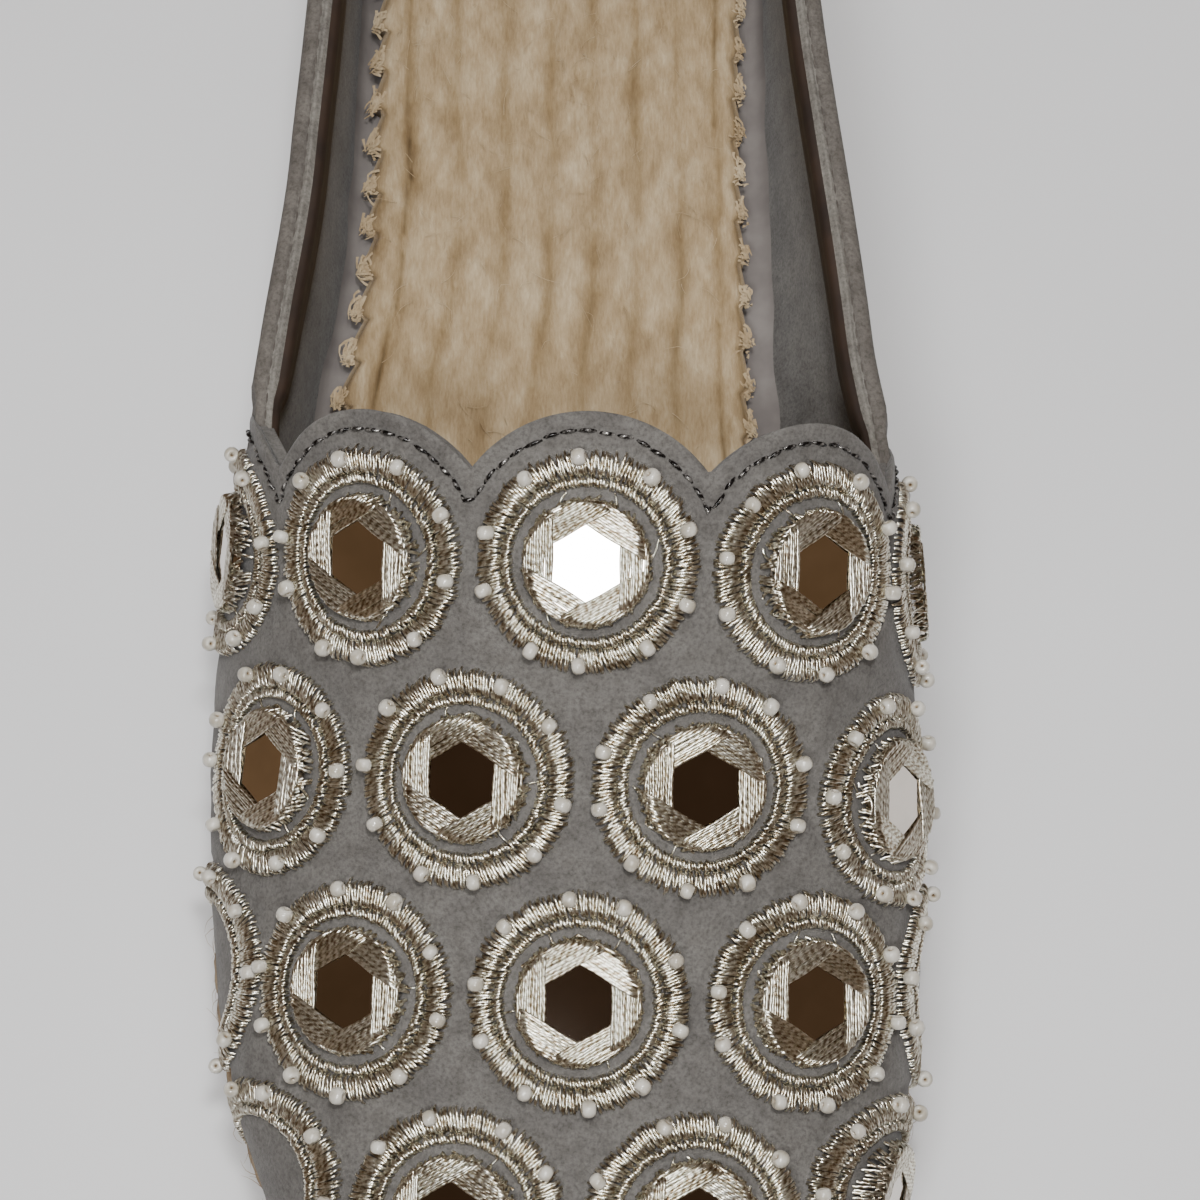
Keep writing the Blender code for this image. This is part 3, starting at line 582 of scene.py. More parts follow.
@dataclass(frozen=True)
class Suede:
    """Napped leather: blotches where the nap lies another way, over a fine grain."""

    name: str
    dark: Colour
    light: Colour
    blotch: float = 7.0 * MM
    nap: float = 0.45 * MM
    nap_depth: float = 0.16 * MM
    sheen: float = 0.12
    scuff: float = 2.2 * MM
    contrast: float = 0.9

    def make(self) -> Material:
        """Build the material."""
        shader = Shader(self.name, Roughness=0.92, Sheen_Weight=self.sheen, Sheen_Roughness=0.5,
                        Specular_IOR_Level=0.25)
        blotches = shader.noise(self.blotch, 4.0, 0.6)
        grain = shader.noise(self.nap, 4.0, 0.7)
        tone = shader.ramp(blotches, [(0.32, self.dark), (0.68, self.light)])
        speck = shader.ramp(grain, [(0.32, (0.46, 0.45, 0.44)), (0.50, (0.80, 0.80, 0.80)), (0.66, WHITE)])
        scuffs = shader.noise(self.scuff, 3.0, 0.6)
        marks = shader.ramp(scuffs, [(0.36, (0.80, 0.79, 0.78)), (0.56, WHITE)])
        specked = shader.mix(self.contrast, tone, speck, "MULTIPLY")
        shader.colour(shader.mix(self.contrast, specked, marks, "MULTIPLY"))
        shader.bump(grain, self.nap_depth, 0.85)
        return shader.material


@dataclass(frozen=True)
class Jute:
    """Plant fibre: pale and brown streaks along the strand, with fine ridges, darkened by the mesh's relief
    value as painted shade in the braid's furrows.
    """

    name: str
    dark: Colour
    middle: Colour
    light: Colour
    grain: tuple[float, float, float] = (3.0, 0.6, 3.0)
    streak: tuple[float, float, float] = (1.0, 0.4, 1.0)
    furrow_shade: Colour = (0.24, 0.20, 0.14)
    flank_shade: Colour = (0.66, 0.61, 0.53)
    blotch: float = 3.4 * MM
    fibre: float = 0.9 * MM
    fibre_depth: float = 0.35 * MM

    def make(self) -> Material:
        """Build the material."""
        shader = Shader(self.name, Roughness=0.95, Sheen_Weight=0.15, Specular_IOR_Level=0.15)
        blotches = shader.noise(self.blotch, 3.0, 0.6, self.streak)
        fibres = shader.noise(self.fibre, 5.0, 0.7, self.grain)
        broad = shader.math("MULTIPLY", blotches, 0.6)
        both = shader.math("ADD", broad, shader.math("MULTIPLY", fibres, 0.4))
        tone = shader.ramp(both, [(0.34, self.dark), (0.50, self.middle), (0.66, self.light)])
        # Painted shade: the mesh's relief value darkens the colour in the braid's furrows and between its
        # strands.
        relief = shader.attribute("relief")
        shade = shader.ramp(relief, [(0.0, self.furrow_shade), (0.5, self.flank_shade), (1.0, WHITE)])
        shader.colour(shader.mix(1.0, tone, shade, "MULTIPLY"))
        shader.bump(fibres, self.fibre_depth, 0.8)
        return shader.material


@dataclass(frozen=True)
class Thread:
    """Twisted metallic thread: bright and dark strokes round each strand as painted highlights and painted
    shade, noise glints as painted highlights, and a random tone for each strand.
    """

    name: str
    dark_tone_and_shade: Colour
    middle: Colour
    silver_and_glint: Colour
    roughness: float = 0.31
    metal: float = 1.0
    dark_to: float = 0.36
    glint_from: float = 0.80
    glint: float = 0.42 * MM
    strand_share: float = 0.22
    stroke_share: float = 0.28

    def make(self) -> Material:
        """Build the material."""
        shader = Shader(self.name, Roughness=self.roughness, Metallic=self.metal)
        # The base colour paints the twist: bright strokes and noise glints are painted highlights, dark
        # strokes painted shade, over a random tone for each strand.
        turns = shader.math("MULTIPLY", shader.attribute("twist"), 2.0 * math.pi)
        wave = shader.math("MULTIPLY", shader.math("SINE", turns, 0.0), 0.5)
        glints = shader.noise(self.glint, 2.0, 0.6)
        strand = shader.math("MULTIPLY", shader.attribute("tone"), self.strand_share)
        strokes = shader.math("MULTIPLY", wave, self.stroke_share)
        both = shader.math("ADD", shader.math("ADD", strand, strokes), glints)
        stops = [(self.dark_to, self.dark_tone_and_shade), (0.58, self.middle), (self.glint_from, self.silver_and_glint)]
        shader.colour(shader.ramp(both, stops))
        shader.bump(wave, 0.05 * MM, 0.45)
        return shader.material


@dataclass(frozen=True)
class Pearl:
    """Cream glass bead with a soft coat."""

    name: str
    cream: Colour
    shade: Colour
    bore: Colour = (0.35, 0.22, 0.07)

    def make(self) -> Material:
        """Build the material."""
        shader = Shader(self.name, Roughness=0.28, Coat_Weight=0.5, Coat_Roughness=0.08)
        hole = shader.attribute("hole")
        clouds = shader.noise(1.6 * MM, 1.0, 0.5)
        body = shader.ramp(clouds, [(0.35, self.shade), (0.60, self.cream)])
        brown = shader.ramp(hole, [(0.0, WHITE), (1.0, self.bore)])
        shader.colour(shader.mix(1.0, body, brown, "MULTIPLY"))
        return shader.material


@dataclass(frozen=True)
class Plain:
    """A quiet finish with blotches and a fine grain, for linings, edges, rubber, glass and the floor."""

    name: str
    dark: Colour
    light: Colour
    roughness: float
    blotch: float = 6.0 * MM
    grain: float = 0.4 * MM
    grain_depth: float = 0.03 * MM
    metal: float = 0.0

    def make(self) -> Material:
        """Build the material."""
        shader = Shader(self.name, Roughness=self.roughness, Metallic=self.metal)
        blotches = shader.noise(self.blotch, 3.0, 0.55)
        shader.colour(shader.ramp(blotches, [(0.35, self.dark), (0.65, self.light)]))
        shader.bump(shader.noise(self.grain, 3.0, 0.6), self.grain_depth, 0.5)
        return shader.material


class Finishes:
    """Every finish of the shoe, made once."""

    def __init__(self) -> None:
        """Make the materials."""
        self.suede = Suede("grey_suede", linear(96, 93, 90), linear(111, 108, 104)).make()
        self.edge = Plain("cut_suede_edge", linear(66, 60, 55), linear(82, 76, 70), 0.9).make()
        self.strip = Suede("binding_strip", linear(92, 87, 82), linear(106, 101, 95), 5.0 * MM,
                           0.5 * MM, 0.08 * MM, 0.05).make()
        # The binding's ridge is a lighter copy of the strip's suede: a painted highlight on the lit crest.
        self.ridge = Suede("binding_ridge_painted_highlight", linear(112, 108, 102), linear(126, 122, 115), 5.0 * MM,
                           0.5 * MM, 0.08 * MM, 0.05).make()
        # Dark brown for the binding's inside leg and channel: partly a brown backing, partly painted shade
        # under the binding's rolled edge.
        self.brown = Plain("brown_backing_and_painted_shade", linear(30, 19, 12), linear(46, 31, 20), 0.75).make()
        self.corner = Plain("shaded_lining", linear(101, 95, 92), linear(117, 111, 107), 0.9).make()
        self.footbed = Jute("jute_footbed", linear(142, 120, 89), linear(168, 147, 115),
                            linear(192, 174, 144)).make()
        self.rope = Jute("jute_rope", linear(118, 94, 66), linear(150, 128, 98), linear(176, 158, 128),
                         (2.0, 2.0, 2.0), (0.8, 0.8, 0.8)).make()
        self.rubber = Plain("crepe_rubber", linear(120, 96, 66), linear(150, 124, 90), 0.7, 8.0 * MM,
                            0.6 * MM, 0.1 * MM).make()
        # Metal thread: base colour from a dark bronze to silver along the twist, painted shade and painted
        # highlights over the metal's own tone.
        self.thread = Thread("metal_thread", linear(138, 122, 99), linear(203, 196, 176),
                             linear(248, 246, 234)).make()
        # Dark thread: its silver flecks are painted glints.
        self.stitch = Thread("dark_thread", linear(20, 18, 17), linear(44, 41, 39), linear(165, 162, 158),
                             0.25, 0.5, 0.45, 0.97).make()
        self.pearl = Pearl("pearl_bead", linear(196, 192, 182), linear(166, 159, 144)).make()
        self.glass = Plain("mirror_glass", linear(212, 204, 192), linear(226, 218, 208), 0.03, 9.0 * MM,
                           4.0 * MM, 0.004 * MM, 1.0).make()
        self.backdrop = Shader("pale_backdrop", Roughness=1.0, Specular_IOR_Level=0.0,
                               Emission_Color=(*WHITE, 1.0), Emission_Strength=0.85,
                               Base_Color=(0.0, 0.0, 0.0, 1.0)).material
        self.floor = Plain("pale_floor", linear(214, 214, 215), linear(220, 220, 221), 0.85,
                           0.2, 0.02, 0.0).make()


# Meshes

def start_clean() -> None:
    """Leave nothing selected and no edit mode open."""
    if bpy.context.object and bpy.context.object.mode != "OBJECT":
        bpy.ops.object.mode_set(mode="OBJECT")
    bpy.ops.object.select_all(action="DESELECT")


def pick(obj: Piece) -> None:
    """Make one object the selected and active one."""
    start_clean()
    obj.select_set(True)
    bpy.context.view_layer.objects.active = obj


@contextmanager
def all_in_edit_mode(obj: Piece) -> Iterator[None]:
    """Open an object's edit mode with all of it selected, and close it again."""
    pick(obj)
    bpy.ops.object.mode_set(mode="EDIT")
    bpy.ops.mesh.select_all(action="SELECT")
    yield
    bpy.ops.object.mode_set(mode="OBJECT")


def weld(obj: Piece, distance: float = 0.004 * MM) -> None:
    """Close seams and poles, and turn the faces of a closed piece outwards.

    Args:
        obj: The piece.
        distance: Points nearer than this become one.
    """
    with all_in_edit_mode(obj):
        bpy.ops.mesh.remove_doubles(threshold=distance)
        bpy.ops.mesh.dissolve_degenerate(threshold=distance)
        bpy.ops.mesh.normals_make_consistent(inside=False)


def finish_modifier(obj: Piece, kind: str, **settings: object) -> None:
    """Add a modifier with its settings and apply it."""
    pick(obj)
    modifier = obj.modifiers.new(kind.lower(), kind)
    for name, value in settings.items():
        setattr(modifier, name, value)
    bpy.ops.object.modifier_apply(modifier=modifier.name)


def loft(name: str, points: Array, closed: bool = True) -> Piece:
    """Add a grid and shape it over rows of points.

    Args:
        name: The object's name.
        points: Rows of points, of shape (rows, columns, 3).
        closed: Whether the last column joins the first, for a seam that the caller welds.

    Returns:
        The shaped object.
    """
    if closed:
        points = np.concatenate([points, points[:, :1]], 1)
    rows, columns = points.shape[:2]
    start_clean()
    bpy.ops.mesh.primitive_grid_add(x_subdivisions=columns - 1, y_subdivisions=rows - 1)
    obj = bpy.context.object
    obj.name = name
    obj.data.name = name
    obj.data.vertices.foreach_set("co", points.reshape(-1).astype(np.float32))
    obj.data.update()
    return obj


def from_arrays(name: str, points: Array, faces: Array) -> Piece:
    """Make an object of many small like shapes from arrays of points and faces."""
    mesh = bpy.data.meshes.new(name)
    mesh.from_pydata(points.reshape(-1, 3).tolist(), [], faces.tolist())
    obj = bpy.data.objects.new(name, mesh)
    bpy.context.collection.objects.link(obj)
    return obj


def carry(obj: Piece, name: str, values: Array) -> None:
    """Give each point of a mesh a value that its material reads."""
    attribute = obj.data.attributes.new(name, "FLOAT", "POINT")
    attribute.data.foreach_set("value", values.reshape(-1).astype(np.float32))


def dress(obj: Piece, slot: Slot, *materials: Material, angle: float = 50.0) -> None:
    """Args:
        obj: The piece.
        slot: The record's slot; not used.
        *materials: The materials, in the order of the faces' numbers.
        angle: Edges sharper than this, in degrees, stay sharp.
    """
    pick(obj)
    bpy.ops.object.shade_smooth_by_angle(angle=math.radians(angle))
    start_clean()
    numbers = np.zeros(len(obj.data.polygons), np.int32)
    obj.data.polygons.foreach_get("material_index", numbers)
    obj.data.materials.clear()
    for material in materials:
        obj.data.materials.append(material)
    obj.data.polygons.foreach_set("material_index", numbers)
    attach(obj, "root")
    LOG.info("%s: %d faces", obj.name, len(obj.data.polygons))


def ripple(points: Array, size: float, seed: int, waves: int = 7) -> Array:
    """Read a smooth random field from -1 to 1.

    Args:
        points: Where to read it.
        size: The length of its waves.
        seed: Which field.
        waves: How many waves are added.

    Returns:
        One value for each point.
    """
    rng = np.random.default_rng(seed)
    total = np.zeros(points.shape[:-1])
    for _ in range(waves):
        direction = unit(rng.normal(size=3)) * 2.0 * np.pi / (size * rng.uniform(0.7, 1.4))
        total += np.sin(points @ direction + rng.uniform(0.0, 2.0 * np.pi))
    return total / math.sqrt(waves) / 1.5


class Sheet:
    """A surface of triangles that can be creased or trimmed along a line of a measure."""

    def __init__(self, points: Array, faces: Array) -> None:
        """Keep the points and the triangles."""
        self.points = points
        self.faces = faces

    @classmethod
    def over(cls, grid: Array) -> "Sheet":
        """Cover a grid of points with triangles."""
        rows, columns = grid.shape[:2]
        index = np.arange(rows * columns).reshape(rows, columns)
        a, b = index[:-1, :-1].ravel(), index[:-1, 1:].ravel()
        c, d = index[1:, 1:].ravel(), index[1:, :-1].ravel()
        faces = np.concatenate([np.stack([a, d, c], 1), np.stack([a, c, b], 1)])
        return cls(grid.reshape(-1, 3).copy(), faces)

    def split(self, measure: Callable[[Array], Array], level: float, trim: bool) -> Array:
        """Cut the triangles along the line where a measure has a level.

        Args:
            measure: Gives a value for each point.
            level: The value of the line.
            trim: Whether the part below the level is dropped.

        Returns:
            Pairs of point numbers, the pieces of the line.
        """
        values = measure(self.points) - level
        values[np.abs(values) < 1e-8] = 1e-8
        inside = values > 0.0
        pattern = inside[self.faces]
        count = pattern.sum(1)
        crossed = (count == 1) | (count == 2)
        faces, pattern = self.faces[crossed], pattern[crossed]
        lone_inside = count[crossed] == 1
        lone = np.where(lone_inside, pattern.argmax(1), (~pattern).argmax(1))
        turned = np.take_along_axis(faces, (lone[:, None] + np.arange(3)) % 3, 1)
        a, b, c = turned.T
        pairs = np.sort(np.concatenate([np.stack([a, b], 1), np.stack([a, c], 1)]), 1)
        edges, where = np.unique(pairs, axis=0, return_inverse=True)
        where = where.reshape(-1)
        share = values[edges[:, 0]] / (values[edges[:, 0]] - values[edges[:, 1]])
        start, end = self.points[edges[:, 0]], self.points[edges[:, 1]]
        first = len(self.points)
        self.points = np.concatenate([self.points, start + (end - start) * share[:, None]])
        ab, ac = first + where[: len(a)], first + where[len(a):]
        tips = np.stack([a, ab, ac], 1)
        bases = np.stack([np.stack([ab, b, c], 1), np.stack([ab, c, ac], 1)], 1)
        if trim:
            kept = [self.faces[count == 3], tips[lone_inside], bases[~lone_inside].reshape(-1, 3)]
        else:
            kept = [self.faces[~crossed], tips, bases.reshape(-1, 3)]
        self.faces = np.concatenate(kept)
        return np.stack([ab, ac], 1)

    def chains(self, pairs: Array) -> list[Array]:
        """Follow the pieces of a line from end to end.

        Args:
            pairs: Pairs of point numbers.

        Returns:
            The lines, each an array of points in order.
        """
        beside: dict[int, list[int]] = {}
        for a, b in pairs.tolist():
            beside.setdefault(a, []).append(b)
            beside.setdefault(b, []).append(a)
        left = set(beside)
        found = []
        ends = [k for k, near in beside.items() if len(near) == 1]
        for start in ends + list(beside):
            if start not in left:
                continue
            chain = [start]
            left.discard(start)
            while True:
                onward = [k for k in beside[chain[-1]] if k in left]
                if not onward:
                    break
                chain.append(onward[0])
                left.discard(onward[0])
            found.append(self.points[chain])
        return [chain for chain in found if len(chain) > 5]

    def normals(self) -> Array:
        """Work out each point's normal, to the side where the triangles run counter-clockwise."""
        a, b, c = (self.points[self.faces[:, k]] for k in range(3))
        flat = np.cross(b - a, c - a)
        total = np.zeros_like(self.points)
        for k in range(3):
            np.add.at(total, self.faces[:, k], flat)
        return unit(total)

    def to_object(self, name: str) -> Piece:
        """Settle the sheet and make it an object, without loose points."""
        used, faces = np.unique(self.faces, return_inverse=True)
        obj = from_arrays(name, settle(self.points[used]), faces.reshape(-1, 3))
        weld(obj, 0.01 * MM)
        return obj


class Strands:
    """Short threads as bent tubes, all in one mesh."""

    round_shape = np.radians([-90.0, -30.0, 30.0, 90.0, 150.0, 210.0])
    half_shape = np.radians([-20.0, 55.0, 125.0, 200.0])
    hair_shape = np.radians([-90.0, 30.0, 150.0])
    lay_length = 1.05 * MM

    def __init__(self) -> None:
        """Start with none."""
        self.points: list[Array] = []
        self.faces: list[Array] = []
        self.tones: list[Array] = []
        self.twists: list[Array] = []
        self.count = 0

    def lay(self, paths: Array, ups: Array, girth: Array, seed: int, shape: Array = round_shape,
            flat: float = 1.0, tones: Optional[Array] = None) -> None:
        """Lay one thread along each path.

        Args:
            paths: Points of shape (threads, steps, 3).
            ups: The way up at each point, of the same shape.
            girth: Half the thickness, for each step or for each thread and step.
            seed: Seed of the threads' tones.
            shape: The turns of the points round the thread.
            flat: How high a thread is for its width.
            tones: The threads' tones, if they aren't left to the seed.
        """
        rng = np.random.default_rng(seed)
        threads, steps = paths.shape[:2]
        run = unit(np.gradient(paths, axis=1))
        side = unit(np.cross(ups, run))
        up = np.cross(run, side)
        girth = np.broadcast_to(girth, (threads, steps))[..., None, None]
        ring = side[:, :, None] * np.cos(shape)[:, None] + up[:, :, None] * (flat * np.sin(shape))[:, None]
        self.points.append((paths[:, :, None] + ring * girth).reshape(-1, 3))
        index = np.arange(threads * steps * len(shape)).reshape(threads, steps, len(shape)) + self.count
        after = np.roll(index, -1, 2)
        open_below = shape is self.half_shape
        here, there = (index[:, :, :-1], index[:, :, 1:]) if open_below else (index, after)
        faces = np.stack([here[:, :-1], there[:, :-1], there[:, 1:], here[:, 1:]], -1)
        self.faces.append(faces.reshape(-1, 4))
        self.count += threads * steps * len(shape)
        if tones is None:
            tones = rng.uniform(0.0, 1.0, threads)
        self.tones.append(np.repeat(tones, steps * len(shape)))
        steps_along = np.linalg.norm(np.diff(paths, axis=1), axis=2)
        along = np.concatenate([np.zeros((threads, 1)), np.cumsum(steps_along, 1)], 1) / self.lay_length
        start = rng.uniform(0.0, 1.0, threads)[:, None, None]
        twist = along[:, :, None] + shape / (2.0 * np.pi) + start
        self.twists.append(twist.reshape(-1))

    def lay_fibres(self, starts: Array, runs: Array, length: Array, hump: Array,
                   rng: np.random.Generator, girth: float = 0.055 * MM) -> None:
        """Lay thin curved fibres.

        Args:
            starts: Where they start.
            runs: Their directions.
            length: Their lengths.
            hump: How high their middles stand.
            rng: The random numbers of their curls.
            girth: Half their thickness at the root.
        """
        t = np.linspace(0.0, 1.0, 5)
        up = np.array([0.0, 0.0, 1.0])
        side = unit(np.cross(runs, up))
        curl = rng.normal(0.0, 0.16, len(starts)) * length
        bow = np.sin(np.pi * t)
        paths = starts[:, None] + runs[:, None] * (length[:, None] * t)[..., None]
        paths = paths + side[:, None] * (curl[:, None] * bow)[..., None]
        paths = paths + up * (hump[:, None] * bow)[..., None]
        self.lay(paths, np.broadcast_to(up, paths.shape), girth * (1.0 - 0.75 * t), 5, self.hair_shape)

    def to_object(self, name: str) -> Piece:
        """Settle the threads and make them one object."""
        obj = from_arrays(name, settle(np.concatenate(self.points)), np.concatenate(self.faces))
        carry(obj, "tone", np.concatenate(self.tones))
        carry(obj, "twist", np.concatenate(self.twists))
        return obj


def stitch_paths(line: Array, at: Array, pitch: float, length: float) -> Array:
    """Lay short stitches one after another along a line.

    Args:
        line: The line's points.
        at: The distance along the seam to each of them.
        pitch: Distance from stitch to stitch.
        length: Length of one stitch.

    Returns:
        Points of shape (stitches, STITCH_POINTS, 3).
    """
    middles = pitch * (np.arange(int(at[-1] / pitch)) + 0.5)
    along = middles[:, None] + np.linspace(-0.5, 0.5, STITCH_POINTS) * length
    return np.stack([np.interp(along, at, line[:, axis]) for axis in range(3)], -1)


# Pattern of the vamp

@dataclass
class Place:
    """Where a ring lies: its centre on the surface, its normal and its two directions."""

    number: int
    row: int
    centre: Array
    normal: Array
    across: Array
    toeward: Array

    def flat(self, a: Array, b: Array) -> Array:
        """Place points in the tangent plane, a across the shoe and b towards the toe."""
        return self.centre + np.multiply.outer(a, self.across) + np.multiply.outer(b, self.toeward)

    def radius_of(self, points: Array) -> Array:
        """Give the distance of points from the ring's middle line, far where they lie too deep."""
        offset = points - self.centre
        depth = offset @ self.normal
        radius = np.linalg.norm(offset - depth[..., None] * self.normal, axis=-1)
        return np.where(np.abs(depth) > SCALLOP_REACH, 1.0, radius)


class Pattern:
    """The lattice of rings, walked over the vamp's surface as in the part."""

    starts_at = 0.3

    def __init__(self, stations: int = 140, arch: int = 36) -> None:
        """Lay the surface and place the rings."""
        shares = even_shares(stations)
        self.grid = LAST.form(shares[shares > self.starts_at], OVERLAY, 2, arch)
        rows, columns = self.grid.shape[:2]
        index = np.arange(rows * columns).reshape(rows, columns)
        faces = np.stack([index[:-1, :-1], index[1:, :-1], index[1:, 1:], index[:-1, 1:]], -1)
        self.tree = BVHTree.FromPolygons(self.grid.reshape(-1, 3).tolist(), faces.reshape(-1, 4).tolist())
        self.crest = self.crest_path()
        self.throat = self.throat_distance()
        self.places = self.lay_rings()
        self.front, self.front_normal = self.front_plane()

    def crest_path(self) -> Array:
        """Follow the middle of the pattern from the throat to the toe."""
        found = []
        for row in self.grid:
            x = PATTERN_X + PATTERN_DRIFT * (row[0, 1] - LENGTH * (0.5 - THROAT_ALONG))
            after = int(np.argmax(row[:, 0] > x))
            if after == 0 or row[after - 1, 0] > x:
                continue
            share = (x - row[after - 1, 0]) / (row[after, 0] - row[after - 1, 0])
            found.append(row[after - 1] + (row[after] - row[after - 1]) * share)
        return np.array(found)

    def throat_distance(self) -> float:
        """Give the distance along the crest path to the throat's edge."""
        y = LENGTH * (0.5 - THROAT_ALONG)
        return float(np.interp(-y, -self.crest[:, 1], lengths(self.crest)))

    def walk(self, path: Array, distance: float) -> tuple[Array, Array]:
        """Find the point and the direction at a distance along a path, its ends carried on straight."""
        at = lengths(path)
        k = int(np.clip(np.searchsorted(at, distance) - 1, 0, len(path) - 2))
        direction = unit(path[k + 1] - path[k])
        return path[k] + direction * (distance - at[k]), direction

    def row_curve(self, origin: Array, along: Array) -> Array:
        """Cut the surface by the plane through a point, square to a direction."""
        side = (self.grid - origin) @ along
        found = []
        for j in range(self.grid.shape[1]):
            crossing = np.nonzero((side[:-1, j] <= 0.0) & (side[1:, j] > 0.0))[0]
            if len(crossing):
                k = crossing[0]
                share = side[k, j] / (side[k, j] - side[k + 1, j])
                found.append(self.grid[k, j] + (self.grid[k + 1, j] - self.grid[k, j]) * share)
        return np.array(found)

    def nearest_distance(self, path: Array, point: Array) -> float:
        """Give the distance along a path to its point nearest to a point."""
        steps = np.diff(path, axis=0)
        share = np.clip(((point - path[:-1]) * steps).sum(1) / (steps**2).sum(1), 0.0, 1.0)
        away = np.linalg.norm(path[:-1] + steps * share[:, None] - point, axis=1)
        k = int(away.argmin())
        return float(lengths(path)[k] + share[k] * np.linalg.norm(steps[k]))

    def lay_rings(self) -> list[Place]:
        """Place every ring on the surface."""
        found: list[Place] = []
        for row, plan in enumerate(ROWS):
            origin, along = self.walk(self.crest, self.throat + SCALLOP_RADIUS + row * ROW_PITCH)
            curve = self.row_curve(origin, along)
            middle = self.nearest_distance(curve, origin)
            for step in plan["steps"]:
                point, across = self.walk(curve, middle + step * RING_SPACING)
                face = np.array(self.tree.find_nearest(Vector(point))[1])
                below = np.array([LAST.axis(0.5 - point[1] / LENGTH), point[1], FEATHER])
                normal = face if face @ (point - below) > 0 else -face
                toeward = unit(np.cross(across, normal))
                toeward = toeward if toeward @ along > 0 else -toeward
                bow = plan["outer" if step < 0 else "inner"]
                point = point + toeward * bow * step * step
                start = Vector(point + normal * RING_OUTER)
                hit, slope, _, _ = self.tree.ray_cast(start, Vector(-normal), 3.0 * RING_OUTER)
                if hit is not None and hit.z >= FEATHER:
                    point = np.array(hit)
                    normal = np.array(slope) if np.array(slope) @ normal > 0 else -np.array(slope)
                across = unit(across - normal * (across @ normal))
                toeward = unit(np.cross(across, normal))
                found.append(Place(len(found) + 1, row, point, normal, across, toeward))
        return found

    def front_plane(self) -> tuple[Array, Array]:
        """Give a point of the plane that ends the collar, and its normal towards the toe."""
        point, along = self.walk(self.crest, self.throat + SCALLOP_RADIUS - FRONT_PLANE_SETBACK)
        return point, unit(np.array([0.0, along[1], along[2]]))

    def surface_up(self, point: Array) -> Array:
        """Give the outward direction of the vamp near a point."""
        found, slope, _, _ = self.tree.find_nearest(Vector(point))
        below = np.array([LAST.axis(0.5 - found.y / LENGTH), found.y, FEATHER])
        return np.array(slope) * (1.0 if np.array(slope) @ (np.array(found) - below) > 0.0 else -1.0)

    def scallops(self, points: Array) -> Array:
        """Measure how deep points lie inside the first row's scallops."""
        return np.max([SCALLOP_RADIUS - p.radius_of(points) for p in self.places if p.row == 0], axis=0)

    def vamp_depth(self, points: Array) -> Array:
        """Measure how deep points lie inside the embroidered vamp."""
        front = (points - self.front) @ self.front_normal
        return np.maximum(front, self.scallops(points)) + OVERLAY_HEM

    def collar_depth(self, points: Array) -> Array:
        """Measure how deep points lie inside what the collar's opening leaves."""
        front = (points - self.front) @ self.front_normal
        below = LAST.topline_z(0.5 - points[..., 1] / LENGTH) - points[..., 2]
        return np.maximum(np.maximum(front, self.scallops(points)), below)


class Patch:
    """The surface round a ring as a smooth height over its tangent plane."""

    reach = 17.0 * MM
    rounds = 9
    spokes = 24
    steepest = 0.15
    powers = [(i, j) for i in range(6) for j in range(6 - i)]

    def __init__(self, pattern: Pattern, place: Place) -> None:
        """Fit the height to rays cast on the surface."""
        self.place = place
        samples, heights = [], []
        for radius in np.linspace(0.0, self.reach, self.rounds):
            for turn in full_turn(self.spokes):
                a, b = radius * math.cos(turn), radius * math.sin(turn)
                flat = place.flat(a, b)
                start = Vector(flat + place.normal * self.reach)
                hit, slope, _, _ = pattern.tree.ray_cast(start, Vector(-place.normal), 3.0 * self.reach)
                if hit is not None and abs(np.array(slope) @ place.normal) > self.steepest:
                    samples.append((a, b))
                    heights.append((np.array(hit) - flat) @ place.normal)
        at = np.array(samples) / self.reach
        terms = np.stack([at[:, 0] ** i * at[:, 1] ** j for i, j in self.powers], 1)
        self.factors = np.linalg.lstsq(terms, np.array(heights), rcond=1e-7)[0]

    def level(self, a: Array, b: Array) -> Array:
        """Give the surface's height over the tangent plane."""
        u, v = a / self.reach, b / self.reach
        return sum(factor * u**i * v**j for factor, (i, j) in zip(self.factors, self.powers))

    def lay(self, a: Array, b: Array, height: Array) -> Array:
        """Place points over the surface.

        Args:
            a: Distance across the shoe from the ring's centre.
            b: Distance towards the toe.
            height: Height over the surface.

        Returns:
            The points.
        """
        u, v = a / self.reach, b / self.reach
        by_a, by_b = np.zeros_like(u), np.zeros_like(u)
        for factor, (i, j) in zip(self.factors, self.powers):
            if i:
                by_a = by_a + factor * i * u ** (i - 1) * v**j / self.reach
            if j:
                by_b = by_b + factor * j * u**i * v ** (j - 1) / self.reach
        place = self.place
        normal = unit(place.normal - by_a[..., None] * place.across - by_b[..., None] * place.toeward)
        return place.flat(a, b) + self.level(a, b)[..., None] * place.normal + height[..., None] * normal


# Upper

@dataclass(frozen=True)
class Crease:
    """One soft fold of the quarters: a trough or, with a negative depth, a ridge."""

    along: float
    height: float
    side: Side
    length: float
    width: float
    lean: float
    depth: float


